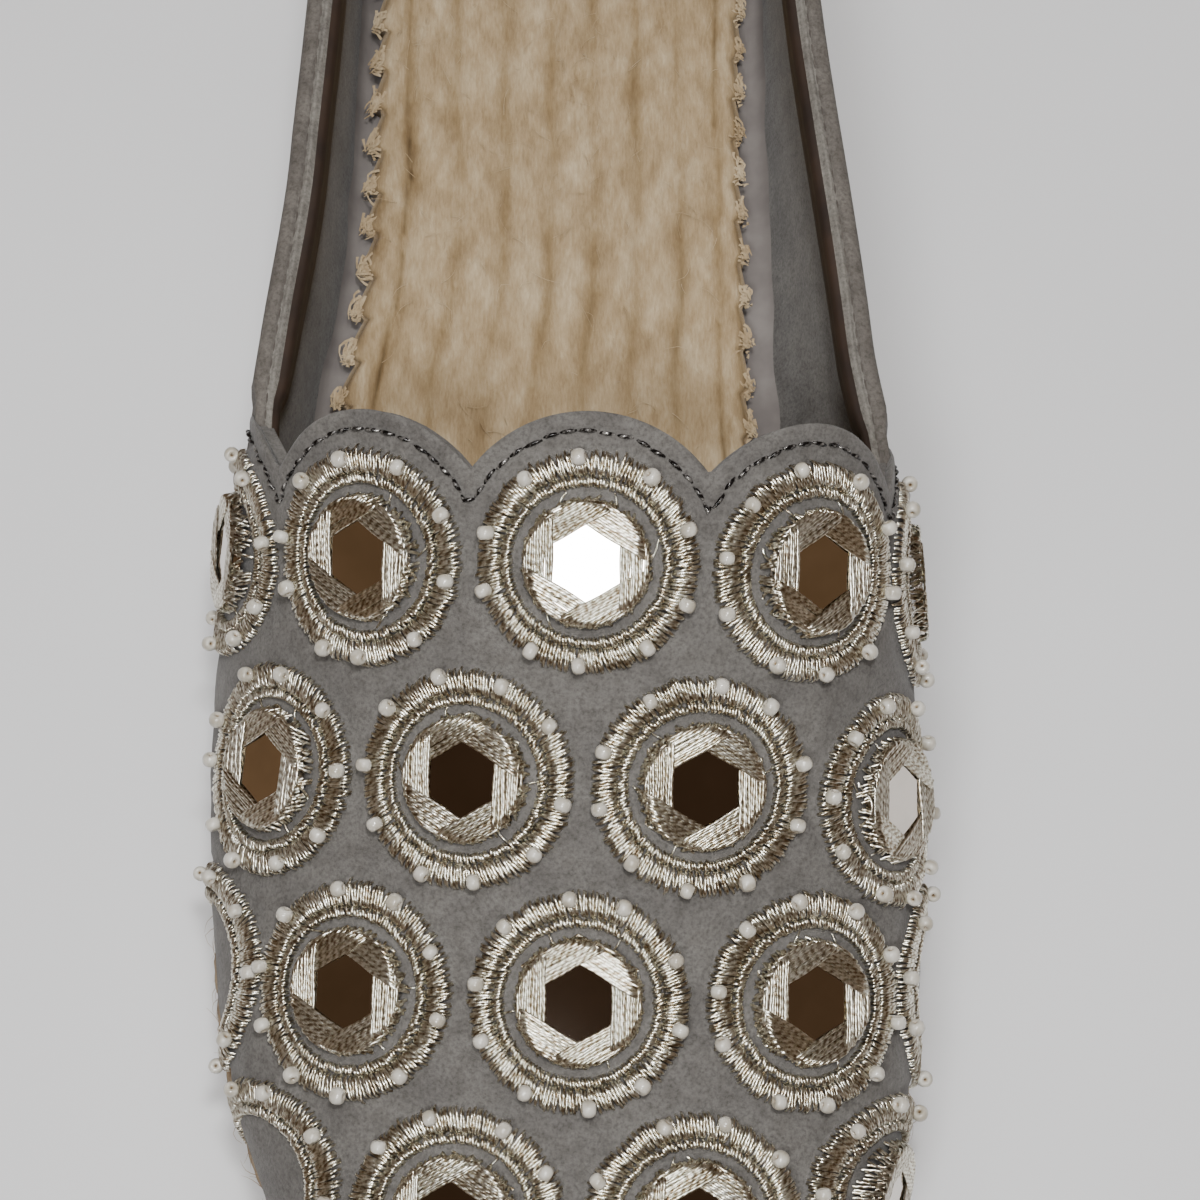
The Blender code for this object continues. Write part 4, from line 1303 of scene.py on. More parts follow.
@dataclass
class Upper:
    """The suede shell with its margin, and the embroidered vamp over it."""

    pattern: Pattern
    finishes: Finishes
    shell_stations: int = 240
    shell_arch: int = 64
    vamp_stations: int = 300
    vamp_arch: int = 84
    vamp_clearance: float = 0.05 * MM
    margin_stations: int = 200
    edge_round: float = 0.5 * MM
    stitch_inset: float = 2.3 * MM
    stitch_groove: float = 0.22 * MM
    ring_trough: float = 0.28 * MM
    stitch_length: float = 1.95 * MM
    stitch_pitch: float = 2.2 * MM
    stitch_radius: float = 0.26 * MM
    stitch_sway: float = 0.10 * MM
    stitch_rise: float = 0.36 * MM
    stitch_sink: float = 0.24 * MM
    groove_half: float = 0.6 * MM
    vamp_from: float = 0.40
    stitch_line: tuple[Array, ...] = ()

    creases = (
        Crease(0.47, 13.0 * MM, Side.INNER, 26.0 * MM, 5.0 * MM, 0.5, 0.6 * MM),
        Crease(0.43, 17.0 * MM, Side.INNER, 22.0 * MM, 4.5 * MM, 0.7, -0.4 * MM),
        Crease(0.46, 12.0 * MM, Side.OUTER, 24.0 * MM, 5.0 * MM, 0.5, 0.6 * MM),
        Crease(0.41, 16.0 * MM, Side.OUTER, 22.0 * MM, 4.5 * MM, 0.7, -0.4 * MM),
        Crease(0.22, 14.0 * MM, Side.INNER, 30.0 * MM, 7.0 * MM, -0.3, 0.5 * MM),
        Crease(0.20, 15.0 * MM, Side.OUTER, 30.0 * MM, 7.0 * MM, -0.3, 0.5 * MM),
        Crease(0.06, 20.0 * MM, Side.OUTER, 24.0 * MM, 8.0 * MM, 0.1, 0.5 * MM),
    )

    def fold(self, points: Array) -> Array:
        """Give the depth of the quarters' folds at points."""
        total = np.zeros(len(points))
        for crease in self.creases:
            y = points[:, 1] - LENGTH * (0.5 - crease.along)
            z = points[:, 2] - FEATHER - crease.height
            run = y * math.cos(crease.lean) + z * math.sin(crease.lean)
            off = -y * math.sin(crease.lean) + z * math.cos(crease.lean)
            on_side = (points[:, 0] * crease.side.value > 0.0).astype(float)
            total += crease.depth * on_side * bell(run, 0.5 * crease.length) * bell(off, 0.5 * crease.width)
        return total

    def build_shell(self) -> None:
        """Model the quarters as one wall, open at the collar."""
        grid = LAST.form(even_shares(self.shell_stations), 0.0, 8, self.shell_arch)
        sheet = Sheet.over(grid)
        sheet.split(self.pattern.collar_depth, 0.0, True)
        normals = sheet.normals()
        hidden = smooth(self.pattern.vamp_depth(sheet.points) / (1.5 * MM))
        inside = np.clip((self.pattern.collar_depth(sheet.points)) / (8.0 * MM), 0.0, 1.0)
        relief = 0.14 * MM * ripple(sheet.points, 16.0 * MM, 3) - self.fold(sheet.points)
        sheet.points = sheet.points + normals * (relief * inside * (1.0 - hidden))[:, None]
        shell = sheet.to_object("upper_shell")
        finish_modifier(shell, "SOLIDIFY", thickness=WALL, offset=-1.0)
        dress(shell, Slot.UPPER, self.finishes.suede)
        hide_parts("upper")

    def vamp_relief(self, points: Array) -> Array:
        """Give the height of the vamp's surface over the last: puffed between rings, drawn in round them."""
        depth = self.pattern.vamp_depth(points)
        relief = 0.10 * MM * ripple(points, 9.0 * MM, 5)
        relief = relief + 0.05 * MM * ripple(points, 3.2 * MM, 6)
        for place in self.pattern.places:
            radius = place.radius_of(points)
            relief = relief - self.ring_trough * bell(radius - RING_OUTER - 0.5 * MM, 0.9 * MM)
            relief = relief + 0.10 * MM * bell(radius - 8.0 * MM, 0.7 * MM)
        relief = relief - self.stitch_groove * bell(depth - self.stitch_inset, 0.55 * MM)
        edge = np.clip(1.0 - depth / self.edge_round, 0.0, 1.0)
        return relief - 0.25 * MM * edge**2

    def build_vamp(self) -> None:
        """Model the embroidered vamp, a step over the quarters with a scalloped edge."""
        shares = even_shares(self.vamp_stations)
        grid = LAST.form(shares[shares > self.vamp_from], OVERLAY, 6, self.vamp_arch)
        sheet = Sheet.over(grid)
        depth = self.pattern.vamp_depth
        sheet.split(depth, 0.0, True)
        for level in (0.5 * self.edge_round, self.edge_round, self.stitch_inset - self.groove_half):
            sheet.split(depth, level, False)
        line = sheet.split(depth, self.stitch_inset, False)
        sheet.split(depth, self.stitch_inset + self.groove_half, False)
        self.stitch_line = tuple(sheet.chains(line))
        sheet.points = sheet.points + sheet.normals() * self.vamp_relief(sheet.points)[:, None]
        vamp = sheet.to_object("upper_vamp")
        finish_modifier(vamp, "SOLIDIFY", thickness=OVERLAY - self.vamp_clearance, offset=-1.0)
        dress(vamp, Slot.UPPER, self.finishes.suede)
        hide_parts("upper")

    def build_margin(self) -> None:
        """Model the turned-in margin, which runs up the wall's inside in a soft corner."""
        shares = even_shares(self.margin_stations)
        corner = ((0.15, 4.6), (-0.05, 3.6), (-0.30, 2.7), (-0.85, 2.05), (-1.8, 1.7))
        rows = [self.wall_ring(shares, grow * MM - WALL, FEATHER + z * MM) for grow, z in corner]
        inner = -(LASTING_MARGIN + FOOT_INSET)
        outer = -(FOOT_INSET + 0.5 * WALL)
        rows += [LAST.ring(shares, inner, z) for z in (FEATHER + WALL, FEATHER)]
        rows.append(LAST.ring(shares, outer, FEATHER))
        margin = loft("upper_margin", settle(np.stack(rows + rows[:1])), closed=True)
        weld(margin)
        dress(margin, Slot.UPPER, self.finishes.corner, angle=80.0)
        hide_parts("upper")

    @staticmethod
    def wall_ring(shares: Array, grow: float, z: float) -> Array:
        """Lay a line round the side walls at a height."""
        outer, inner = (LAST.wall(shares, side, grow, z, 12, 40) for side in Side)
        return np.concatenate([outer, inner[-2:0:-1]])

    def build_stitches(self) -> None:
        """Sew the line inside the scallops: short sunk stitches along the groove."""
        paths = np.concatenate([
            stitch_paths(line, lengths(line), self.stitch_pitch, self.stitch_length)
            for line in self.stitch_line])
        ups = np.array([self.pattern.surface_up(path[STITCH_POINTS // 2]) for path in paths])
        ups = np.repeat(ups[:, None], STITCH_POINTS, 1)
        arch = np.sin(np.linspace(0.0, np.pi, STITCH_POINTS))
        sway = np.random.default_rng(19).normal(0.0, self.stitch_sway, (len(paths), 2, 3))
        share = np.linspace(0.0, 1.0, STITCH_POINTS)[None, :, None]
        paths = paths + sway[:, :1] + (sway[:, 1:] - sway[:, :1]) * share
        paths = paths + ups * (self.stitch_rise * arch - self.stitch_sink)[None, :, None]
        threads = Strands()
        threads.lay(paths, ups, self.stitch_radius * (0.55 + 0.45 * arch), seed=11)
        dress(threads.to_object("scallop_stitches"), Slot.UPPER, self.finishes.stitch, angle=70.0)


# Embroidery

@dataclass(frozen=True)
class Band:
    """A satin band of radial threads: its radii, its height over the suede and its threads."""

    low: float
    high: float
    height: float
    count: int


@dataclass
class RingWork:
    """One embroidered ring: its satin bands, its pinwheel over the mirror, and its beads."""

    pattern: Pattern
    place: Place
    bands: tuple[Band, Band] = (
        Band(10.0 * MM, 13.0 * MM, 1.0 * MM, 190),
        Band(8.8 * MM, 10.05 * MM, 0.95 * MM, 160),
    )
    wheel_from: float = 4.05 * MM
    wheel_pitch: float = 0.31 * MM
    wheel_threads: int = 11
    wheel_reach: float = 7.55 * MM
    bead_ring: float = 12.15 * MM
    bead_height: float = 1.6 * MM
    thread_sink: float = 0.12 * MM
    band_flat: float = 0.5
    wheel_girth: float = 0.215 * MM
    wheel_flat: float = 0.62
    tie_count: int = 4
    tie_girth: float = 0.12 * MM
    cut_below: float = SOLE_TOP + 6.0 * MM
    bead_free: float = FEATHER + 2.2 * MM
    followed_ring: int = 3

    band_steps = np.array([0.0, 0.06, 0.16, 0.36, 0.64, 0.84, 0.94, 1.0])
    bead_turns = (-2.5, 34.0, 70.0, 110.0, 146.0, 183.0, 213.0, 253.0, 285.0, 322.0)

    def __post_init__(self) -> None:
        """Fit the surface under the ring."""
        self.patch = Patch(self.pattern, self.place)
        self.rng = np.random.default_rng(100 + self.place.number)

    def on_surface(self, radius: Array, turn: Array, height: Array) -> tuple[Array, Array]:
        """Place points at a radius and a turn over the suede, with the way up there."""
        a, b = radius * np.sin(turn), radius * np.cos(turn)
        points = self.patch.lay(a, b, height)
        return points, unit(self.patch.lay(a, b, height + MM) - points)

    def sew(self, threads: Strands, band: Band, seed: int) -> None:
        """Sew a satin band.

        Args:
            threads: Where the threads go.
            band: The band.
            seed: Seed of its small irregularities.
        """
        rng = np.random.default_rng(seed)
        count, t = band.count, self.band_steps
        turn = 2.0 * np.pi * (np.arange(count) + rng.uniform(-0.15, 0.15, count)) / count
        start = band.low + rng.normal(0.0, 0.06 * MM, count)
        end = band.high + rng.normal(0.0, 0.17 * MM, count)
        crest = band.height * (1.0 + rng.normal(0.0, 0.035, count))
        slant = 0.035 + rng.normal(0.0, 0.022, count)
        radius = start[:, None] + (end - start)[:, None] * t
        turns = turn[:, None] + slant[:, None] * (t - 0.5)
        arch = np.sqrt(np.clip(1.02 - np.abs(2.0 * t - 1.0) ** 5, 0.0, 1.0))
        points, ups = self.on_surface(radius, turns, crest[:, None] * arch - self.thread_sink)
        pitch = 2.0 * np.pi * 0.5 * (band.low + band.high) / count
        girth = 0.56 * pitch * (0.70 + 0.30 * np.sin(np.pi * t))
        threads.lay(points, ups, girth, seed + 1, Strands.half_shape, self.band_flat)

    def wheel(self, threads: Strands) -> None:
        """Hold the mirror with six fans of threads, each over the next and under the one before."""
        top = self.mirror_top()
        t = np.linspace(-1.0, 1.0, 14)
        for fan in range(6):
            heading = np.pi / 3.0 * fan
            off = self.wheel_from + self.wheel_pitch * np.arange(self.wheel_threads)
            off = off + self.rng.normal(0.0, 0.04 * MM, self.wheel_threads)
            reach = self.wheel_reach + self.rng.normal(0.0, 0.16 * MM, self.wheel_threads)
            half = np.sqrt(np.maximum(reach**2 - off**2, (1.2 * MM) ** 2))
            run = half[:, None] * t
            phase = self.rng.uniform(0.0, 2.0 * np.pi, self.wheel_threads)[:, None]
            line = off[:, None] + 0.06 * MM * np.sin(run / (1.1 * MM) + phase)
            a = line * math.cos(heading) - run * math.sin(heading)
            b = line * math.sin(heading) + run * math.cos(heading)
            radius = np.hypot(a, b)
            over = top + (0.24 + 0.11 * np.tanh(run / (1.5 * MM))) * MM
            level = self.patch.level(a, b) + 0.22 * MM
            down = smooth((radius - MIRROR_RADIUS) / (0.45 * MM))
            height = over + (np.minimum(level, over) - over) * down
            points = self.place.flat(a, b) + height[..., None] * self.place.normal
            ups = np.broadcast_to(self.place.normal, points.shape)
            seed = 7 * self.place.number + fan
            threads.lay(points, ups, self.wheel_girth, seed, Strands.half_shape, self.wheel_flat)

    def ties(self, threads: Strands) -> None:
        """Carry a few loose threads from the fans' ends over the suede to the inner band."""
        count = self.tie_count
        corner = np.pi / 3.0 * (self.rng.permutation(6)[:count] + 0.5) + self.rng.normal(0.0, 0.1, count)
        t = np.linspace(0.0, 1.0, 6)
        radius = 7.2 * MM + t * self.rng.uniform(1.0, 1.9, count)[:, None] * MM
        turns = corner[:, None] + self.rng.normal(0.0, 0.10, count)[:, None] * t
        points, ups = self.on_surface(radius, turns, 0.20 * MM + 0.25 * MM * np.sin(np.pi * t) + 0.0 * turns)
        threads.lay(points, ups, self.tie_girth, 3 * self.place.number)

    def mirror_top(self) -> float:
        """Give the height of the mirror's face over the ring's centre, as in the part."""
        turns = full_turn(12)
        rim = self.patch.level(MIRROR_RADIUS * np.sin(turns), MIRROR_RADIUS * np.cos(turns))
        return max(0.0, float(rim.max())) + GAP + MIRROR_THICKNESS

    def build(self, finishes: Finishes) -> None:
        """Model and dress the ring's threads."""
        threads = Strands()
        seed = 1000 * self.place.number
        for step, band in zip((0, 7), self.bands):
            self.sew(threads, band, seed + step)
        if self.place.number in MIRRORED:
            self.wheel(threads)
            self.ties(threads)
        name = f"ring_{self.place.number:02d}"
        obj = threads.to_object(name + "_threads")
        self.cut_at_edge(obj)
        dress(obj, Slot.EMBROIDERY, finishes.thread, angle=70.0)
        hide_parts(name)

    def cut_at_edge(self, obj: Piece) -> None:
        """Cut off what would reach below the upper's edge."""
        low = min(vert.co.z for vert in obj.data.vertices)
        if low > self.cut_below:
            return
        edge = settle(np.array([[0.0, self.place.centre[1], FEATHER + GAP]]))[0]
        with all_in_edit_mode(obj):
            bpy.ops.mesh.bisect(plane_co=edge, plane_no=(0.0, 0.0, -1.0), clear_outer=True)

    def bead_frames(self) -> list[tuple[Array, Array, Array]]:
        """Place the beads: a centre, the way up and the way of the hole for each."""
        found = []
        shift = 0.0 if self.place.number == self.followed_ring else self.rng.uniform(-18.0, 18.0)
        for turn in self.bead_turns:
            angle = math.radians(180.0 - turn + shift + self.rng.normal(0.0, 2.5))
            radius = np.array([self.bead_ring + self.rng.normal(0.0, 0.15 * MM)])
            height = np.array([self.bead_height])
            point, up = self.on_surface(radius, np.array([angle]), height)
            if point[0, 2] < self.bead_free:
                continue
            ahead, _ = self.on_surface(radius, np.array([angle + 0.1]), height)
            found.append((point[0], up[0], unit(ahead - point)[0]))
        return found


@dataclass
class Beads:
    """Every seed bead of the vamp in one mesh."""

    works: Sequence[RingWork]
    finishes: Finishes
    centre: float = 0.52 * MM
    thick: float = 0.50 * MM
    half_length: float = 0.80 * MM
    around: int = 16
    rounds: int = 12
    hole_edge: float = 0.35 * MM
    lean: float = 0.16
    swing: float = 0.25

    def bead(self) -> tuple[Array, Array, Array]:
        """Shape one bead round its hole, which runs along z."""
        turn = full_turn(self.around)
        tube = full_turn(self.rounds)
        radius = self.centre + self.thick * np.cos(tube)
        height = self.half_length * np.sin(tube)
        points = np.stack([
            np.outer(np.cos(turn), radius), np.outer(np.sin(turn), radius),
            np.broadcast_to(height, (self.around, self.rounds)),
        ], -1)
        index = np.arange(self.around * self.rounds).reshape(self.around, self.rounds)
        right, after = np.roll(index, -1, 0), np.roll(index, -1, 1)
        faces = np.stack([index, right, np.roll(right, -1, 1), after], -1).reshape(-1, 4)
        past_hole = np.broadcast_to(radius, index.shape) - self.centre + self.thick
        hole = smooth(1.0 - past_hole / self.hole_edge)
        return points.reshape(-1, 3), faces, hole.reshape(-1)

    def build(self) -> None:
        """Set every bead on its ring."""
        shape, faces, hole = self.bead()
        rng = np.random.default_rng(77)
        points, quads, holes = [], [], []
        for work in self.works:
            for centre, up, tangent in work.bead_frames():
                lean = rng.normal(0.0, self.lean)
                swing = rng.normal(0.0, self.swing)
                side = unit(np.cross(up, tangent))
                axis = tangent * math.cos(swing) + side * math.sin(swing)
                axis = unit(axis * math.cos(lean) + up * math.sin(lean))
                first = unit(np.cross(up, axis))
                second = np.cross(axis, first)
                scale = rng.uniform(0.94, 1.06)
                quads.append(faces + len(points) * len(shape))
                points.append(centre + scale * shape @ np.stack([first, second, axis]))
                holes.append(hole)
        obj = from_arrays("pearl_beads", settle(np.concatenate(points)), np.concatenate(quads))
        carry(obj, "hole", np.concatenate(holes))
        dress(obj, Slot.BEADS, self.finishes.pearl, angle=80.0)


# Binding

@dataclass
class Binding:
    """The folded strip over the collar's edge, its seam and its stitches."""

    pattern: Pattern
    finishes: Finishes
    stations: int = 150
    crown_steps: int = 26
    tuck: float = 6.0 * MM
    groove_at: float = 2.2 * MM
    groove_depth: float = 0.40 * MM
    groove_width: float = 0.30 * MM
    stitch_pitch: float = 2.2 * MM
    stitch_length: float = 1.3 * MM
    stitch_girth: float = 0.12 * MM
    crown_width: float = 4.5 * MM
    ridge_height: float = 0.30 * MM
    # Share of the crown where the dark brown of the backing and the painted shade begins.
    brown_shade_from: float = 0.76
    leg_points: int = 5

    @property
    def seam_step(self) -> int:
        """Give the crown's point at the seam."""
        return int(self.groove_at / self.crown_width * self.crown_steps)

    def stretch(self, side: Side) -> tuple[Array, Array]:
        """Give shares from the heel to under the first row's scallops, and the strip's fullness there."""
        thick = BINDING_THICKNESS + BINDING_CLEARANCE
        clear = SCALLOP_RADIUS + OVERLAY_HEM + GAP
        last = 0.0
        for share in np.linspace(0.0, THROAT_ALONG, 200):
            levels = np.concatenate([self.levels(share, side, grow) for grow in (thick, -WALL - thick)])
            if any((p.radius_of(levels) < clear).any() for p in self.pattern.places if p.row == 0):
                break
            last = share
        whole = last + self.tuck / LENGTH
        shares = whole * (1.0 - np.cos(0.5 * np.pi * np.arange(self.stations + 1) / self.stations))
        return shares, 1.0 - 0.52 * smooth(((shares - last) * LENGTH + 2.0 * MM) / (3.2 * MM))

    @staticmethod
    def levels(share: float, side: Side, grow: float) -> Array:
        """Give points of the wall at the topline, halfway down the binding and at its foot."""
        shares = np.array([share])
        z = float(LAST.topline_z(shares)[0])
        return np.concatenate([LAST.wall(shares, side, grow, z - k * 0.5 * BINDING_DEPTH) for k in range(3)])

    def section(self, outside: Array, inside: Array, away: Array, place: float, full: float) -> Array:
        """Lay one section: up the outside, over the crown with its seam, down the inside and back.

        Args:
            outside: The three points of the wall's outside.
            inside: The three points of its inside.
            away: The direction out of the shoe.
            place: Distance along the strip, for its small unevenness.
            full: The strip's fullness, 1 where nothing presses on it.

        Returns:
            The section's points in order.
        """
        lift = np.array([0.0, 0.0, 1.0])
        clear, thick = BINDING_CLEARANCE * full, BINDING_THICKNESS * full
        wall = max((a - b) @ away for a, b in zip(outside, inside))
        sway = 0.10 * MM * math.sin(place / (7.0 * MM)) + 0.07 * MM * math.sin(place / (2.9 * MM) + 1.0)
        top, middle, low = outside
        width = wall + 2.0 * (clear + thick)
        w = np.linspace(0.0, width, self.crown_steps)
        rise = (1.0 - np.abs(2.0 * w / width - 1.0) ** 2.6) ** (1.0 / 2.2) * (clear + thick + sway)
        seam = self.groove_at * width / self.crown_width + sway
        dip = self.groove_depth * bell(w - seam, self.groove_width)
        ridge = self.ridge_height * bell(w - seam - 0.60 * MM, 0.42 * MM)
        rise = rise + full * (ridge - dip - 0.45 * MM * smooth((w - seam) / (1.2 * MM)))
        crown = [top + away * (clear + thick - at) + lift * high for at, high in zip(w, rise)]
        outer_leg = [
            low + away * clear,
            low + away * (clear + 0.55 * thick) - lift * 0.10 * MM,
            low + away * (clear + thick + 0.03 * MM) + lift * 0.35 * MM,
            middle + away * (clear + thick + 0.12 * MM + sway),
            top + away * (clear + thick) - lift * 0.8 * MM,
        ]
        inner = -(wall + clear)
        inner_leg = [
            top + away * (inner - thick) - lift * 0.9 * MM,
            middle + away * (inner - thick - 0.08 * MM),
            low + away * (inner - thick) + lift * 0.35 * MM,
            low + away * (inner - 0.5 * thick),
            low + away * inner,
        ]
        channel = [middle + away * inner, top + away * inner + lift * clear,
                   top + away * clear + lift * clear, middle + away * clear]
        return np.array(outer_leg + crown + inner_leg + channel)

    def build(self) -> None:
        """Model and dress the strip and its stitches."""
        (outer_shares, outer_full), (inner_shares, inner_full) = (self.stretch(side) for side in Side)
        route = [(share, Side.OUTER) for share in outer_shares[::-1]]
        route += [(share, Side.INNER) for share in inner_shares[1:]]
        full = np.concatenate([outer_full[::-1], inner_full[1:]])
        outside = np.array([self.levels(share, side, 0.0) for share, side in route])
        inside = np.array([self.levels(share, side, -WALL) for share, side in route])
        along = unit(np.gradient(outside[:, 0], axis=0))
        away = unit(quarter_turn(along))
        away = away * np.sign(((outside[:, 0] - inside[:, 0]) * away).sum(1))[:, None]
        at = lengths(outside[:, 0])
        rows = np.array([self.section(*item) for item in zip(outside, inside, away, at, full)])
        strip = loft("binding_strip", settle(rows))
        self.part_colours(strip, rows.shape[1])
        with all_in_edit_mode(strip):
            bpy.ops.mesh.remove_doubles(threshold=0.002 * MM)
            bpy.ops.mesh.fill_holes(sides=0)
            bpy.ops.mesh.normals_make_consistent(inside=False)
        dress(strip, Slot.BINDING, *self.materials, angle=60.0)
        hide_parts("binding")
        self.build_stitches(rows, at)

    @property
    def materials(self) -> tuple[Material, ...]:
        """Give the strip's finishes, in the order of the faces' numbers."""
        return self.finishes.strip, self.finishes.brown, self.finishes.ridge

    def part_colours(self, strip: Piece, columns: int) -> None:
        """Paint the ridge inside the seam lighter as a painted highlight, and the inside leg and the channel
        dark brown as a brown backing with painted shade.
        """
        column = np.arange(columns) - self.leg_points
        lighter = np.where(column >= self.seam_step, 2, 0)
        # The inside leg and the channel take the dark brown: a brown backing and painted shade under the
        # binding's edge.
        per_row = np.where(column >= int(self.brown_shade_from * self.crown_steps), 1, lighter)
        numbers = np.tile(per_row.astype(np.int32), len(strip.data.polygons) // columns)
        for material in self.materials:
            strip.data.materials.append(material)
        strip.data.polygons.foreach_set("material_index", numbers)

    def build_stitches(self, rows: Array, at: Array) -> None:
        """Sew the seam between the outer band and the inner ridge."""
        seam = rows[:, self.leg_points + self.seam_step]
        paths = stitch_paths(seam, at, self.stitch_pitch, self.stitch_length)
        ups = np.broadcast_to(np.array([0.0, 0.0, 1.0]), paths.shape)
        arch = np.sin(np.linspace(0.0, np.pi, STITCH_POINTS))
        paths = paths + ups * ((0.14 * arch - 0.06) * MM)[None, :, None]
        threads = Strands()
        threads.lay(paths, ups, self.stitch_girth * (0.6 + 0.4 * arch), seed=12)
        dress(threads.to_object("binding_stitches"), Slot.BINDING, self.finishes.edge, angle=70.0)


# Footbed and rope sole

@dataclass
class Footbed:
    """The jute footbed: braid rows side by side, a lumpy edge with tufts, and loose fibres."""

    finishes: Finishes
    stations: int = 420
    per_row: int = 10
    braid_rows: int = 9
    chevron: float = 6.6 * MM
    relief: float = 0.30 * MM
    arch: float = 0.55 * MM
    lump: float = 1.7 * MM
    hairs: int = 700
    tuft_hairs: int = 50
    tuft_girth: float = 0.24 * MM
    tuft_reach: float = 1.2 * MM
    row_inset: float = 0.6 * MM
    # The edge and underside take one relief value, darkened through the finish's shade ramp: painted shade.
    rim_shade: float = 0.75
    nominal_width: float = 66.0 * MM
    lump_share: float = 0.05
    inner_shift: float = 0.3

    row_edges = (0.0, 0.075, 0.215, 0.35, 0.48, 0.60, 0.72, 0.84, 0.945, 1.0)

    def height(self, across: Array, y: Array) -> tuple[Array, Array]:
        """Give the braid's height over the footbed, and its relief from 0 to 1 for the finish's painted shade
        in the furrows and between the strands.

        Args:
            across: From 0 at the outer edge to 1 at the inner edge.
            y: Place along the shoe.

        Returns:
            Heights, and relief values for the finish's painted shade.
        """
        wander = 0.07 * np.sin(y / (9.0 * MM)) + 0.04 * np.sin(y / (3.1 * MM) + 2.0)
        inner = np.clip(across * (1.0 - across) * 30.0, 0.0, 1.0)
        row = np.interp(across, self.row_edges, np.arange(self.braid_rows + 1)) + wander * inner
        number = np.clip(np.floor(row), 0, self.braid_rows - 1)
        u = np.clip(2.0 * (row - number) - 1.0, -1.0, 1.0)
        phase = y / self.chevron + 0.45 * np.abs(u) + 0.5 * (u > 0.0) + 0.37 * number
        phase = phase + 0.12 * np.sin(y / (11.0 * MM) + 2.3 * number)
        strand, body = strand_height(phase), cord_height(u)
        points = np.stack([across * self.nominal_width, y, 0.0 * y], -1)
        rough = 0.07 * MM * ripple(points, 2.4 * MM, 21, 14) + 0.10 * MM * ripple(points, 7.0 * MM, 22)
        edge_row = np.clip(1.0 - np.minimum(number, self.braid_rows - 1 - number), 0.0, 1.0)
        depth = 0.62 + 0.38 * edge_row + 0.25 * ripple(points * np.array([1.0, 0.3, 1.0]), 9.0 * MM, 23)
        height = depth * (self.arch * body + self.relief * (strand - 0.6) * body**0.5) + rough
        # Lower values in the furrows between rows and between strands, deeper in the edge rows: the finish
        # paints them as shade.
        furrow_shade = np.abs(u) ** 2.4
        shade = 0.85 * furrow_shade + 0.28 * (1.0 - strand) * (1.0 - furrow_shade)
        return height, np.clip(1.0 - depth * shade, 0.0, 1.0)

    def tooth(self, y: Array, side: Side) -> Array:
        """Read the edge's lumps: each swells towards the toe and breaks off at its tuft."""
        phase = (-y / self.chevron + (self.inner_shift if side is Side.INNER else 0.0)) % 1.0
        return np.clip(phase * 1.15, 0.0, 1.0) ** 0.8 * np.clip((1.0 - phase) * 7.0, 0.0, 1.0)

    def edge_line(self, shares: Array, side: Side, grow: float, z: float) -> Array:
        """Lay the footbed's lumpy outline on one side."""
        strength = 1.0 if side is Side.OUTER else 0.55
        lumps = self.lump * strength * (self.tooth(LENGTH * (0.5 - shares), side) - 0.35) * LAST.ends(shares)
        points = LAST.outline(shares, side, grow, z)
        points[:, 0] += side.value * lumps
        return points

    def build(self) -> None:
        """Model and dress the footbed."""
        shares = even_shares(self.stations)
        edge = -INSOLE_INSET
        inset = edge - self.row_inset
        left, right = (LAST.outline(shares, side, inset, INSOLE_TOP) for side in Side)
        lumps = [self.edge_line(shares, side, inset, INSOLE_TOP) - line
                 for side, line in zip(Side, (left, right))]
        columns = self.braid_rows * self.per_row
        share = np.linspace(0.0, 1.0, columns + 1)
        grid = left[:, None] + (right - left)[:, None] * share[None, :, None]
        for near, lump in zip((share, 1.0 - share), lumps):
            grid = grid + lump[:, None] * np.clip(1.0 - near / self.lump_share, 0.0, 1.0)[None, :, None]
        at = np.broadcast_to(grid[..., 1], grid.shape[:2])
        height, relief = self.height(np.broadcast_to(share, at.shape), at)
        grid[..., 2] += (height - 0.25 * MM) * LAST.ends(shares)[:, None] ** 0.5
        rim, rim_shade = self.rim(shares, edge)
        rows = np.concatenate([grid, rim], 1)
        obj = loft("braided_footbed", settle(rows))
        carry(obj, "relief", np.concatenate([relief, rim_shade, relief[:, :1]], 1))
        weld(obj, 0.002 * MM)
        dress(obj, Slot.INSOLE, self.finishes.footbed, angle=80.0)
        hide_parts("insole")
        self.build_fibres(grid)

    def rim(self, shares: Array, edge: float) -> tuple[Array, Array]:
        """Lay the edge and the underside, from the inner edge round below to the outer edge."""
        plug = -(LASTING_MARGIN + FOOT_INSET + GAP)
        levels = ((edge, INSOLE_TOP - 0.5 * MM), (edge, INSOLE_TOP - 1.6 * MM),
                  (edge - 0.3 * MM, INSOLE_SEAT))
        inner = [self.edge_line(shares, Side.INNER, grow, z) for grow, z in levels]
        outer = [self.edge_line(shares, Side.OUTER, grow, z) for grow, z in levels[::-1]]
        corners = ((Side.INNER, INSOLE_SEAT), (Side.INNER, FEATHER),
                   (Side.OUTER, FEATHER), (Side.OUTER, INSOLE_SEAT))
        under = [LAST.outline(shares, side, plug, z) for side, z in corners]
        rim = np.stack(inner + under + outer, 1)
        # One relief value for the whole rim, which the finish paints as a darker shade.
        return rim, np.full(rim.shape[:2], self.rim_shade)

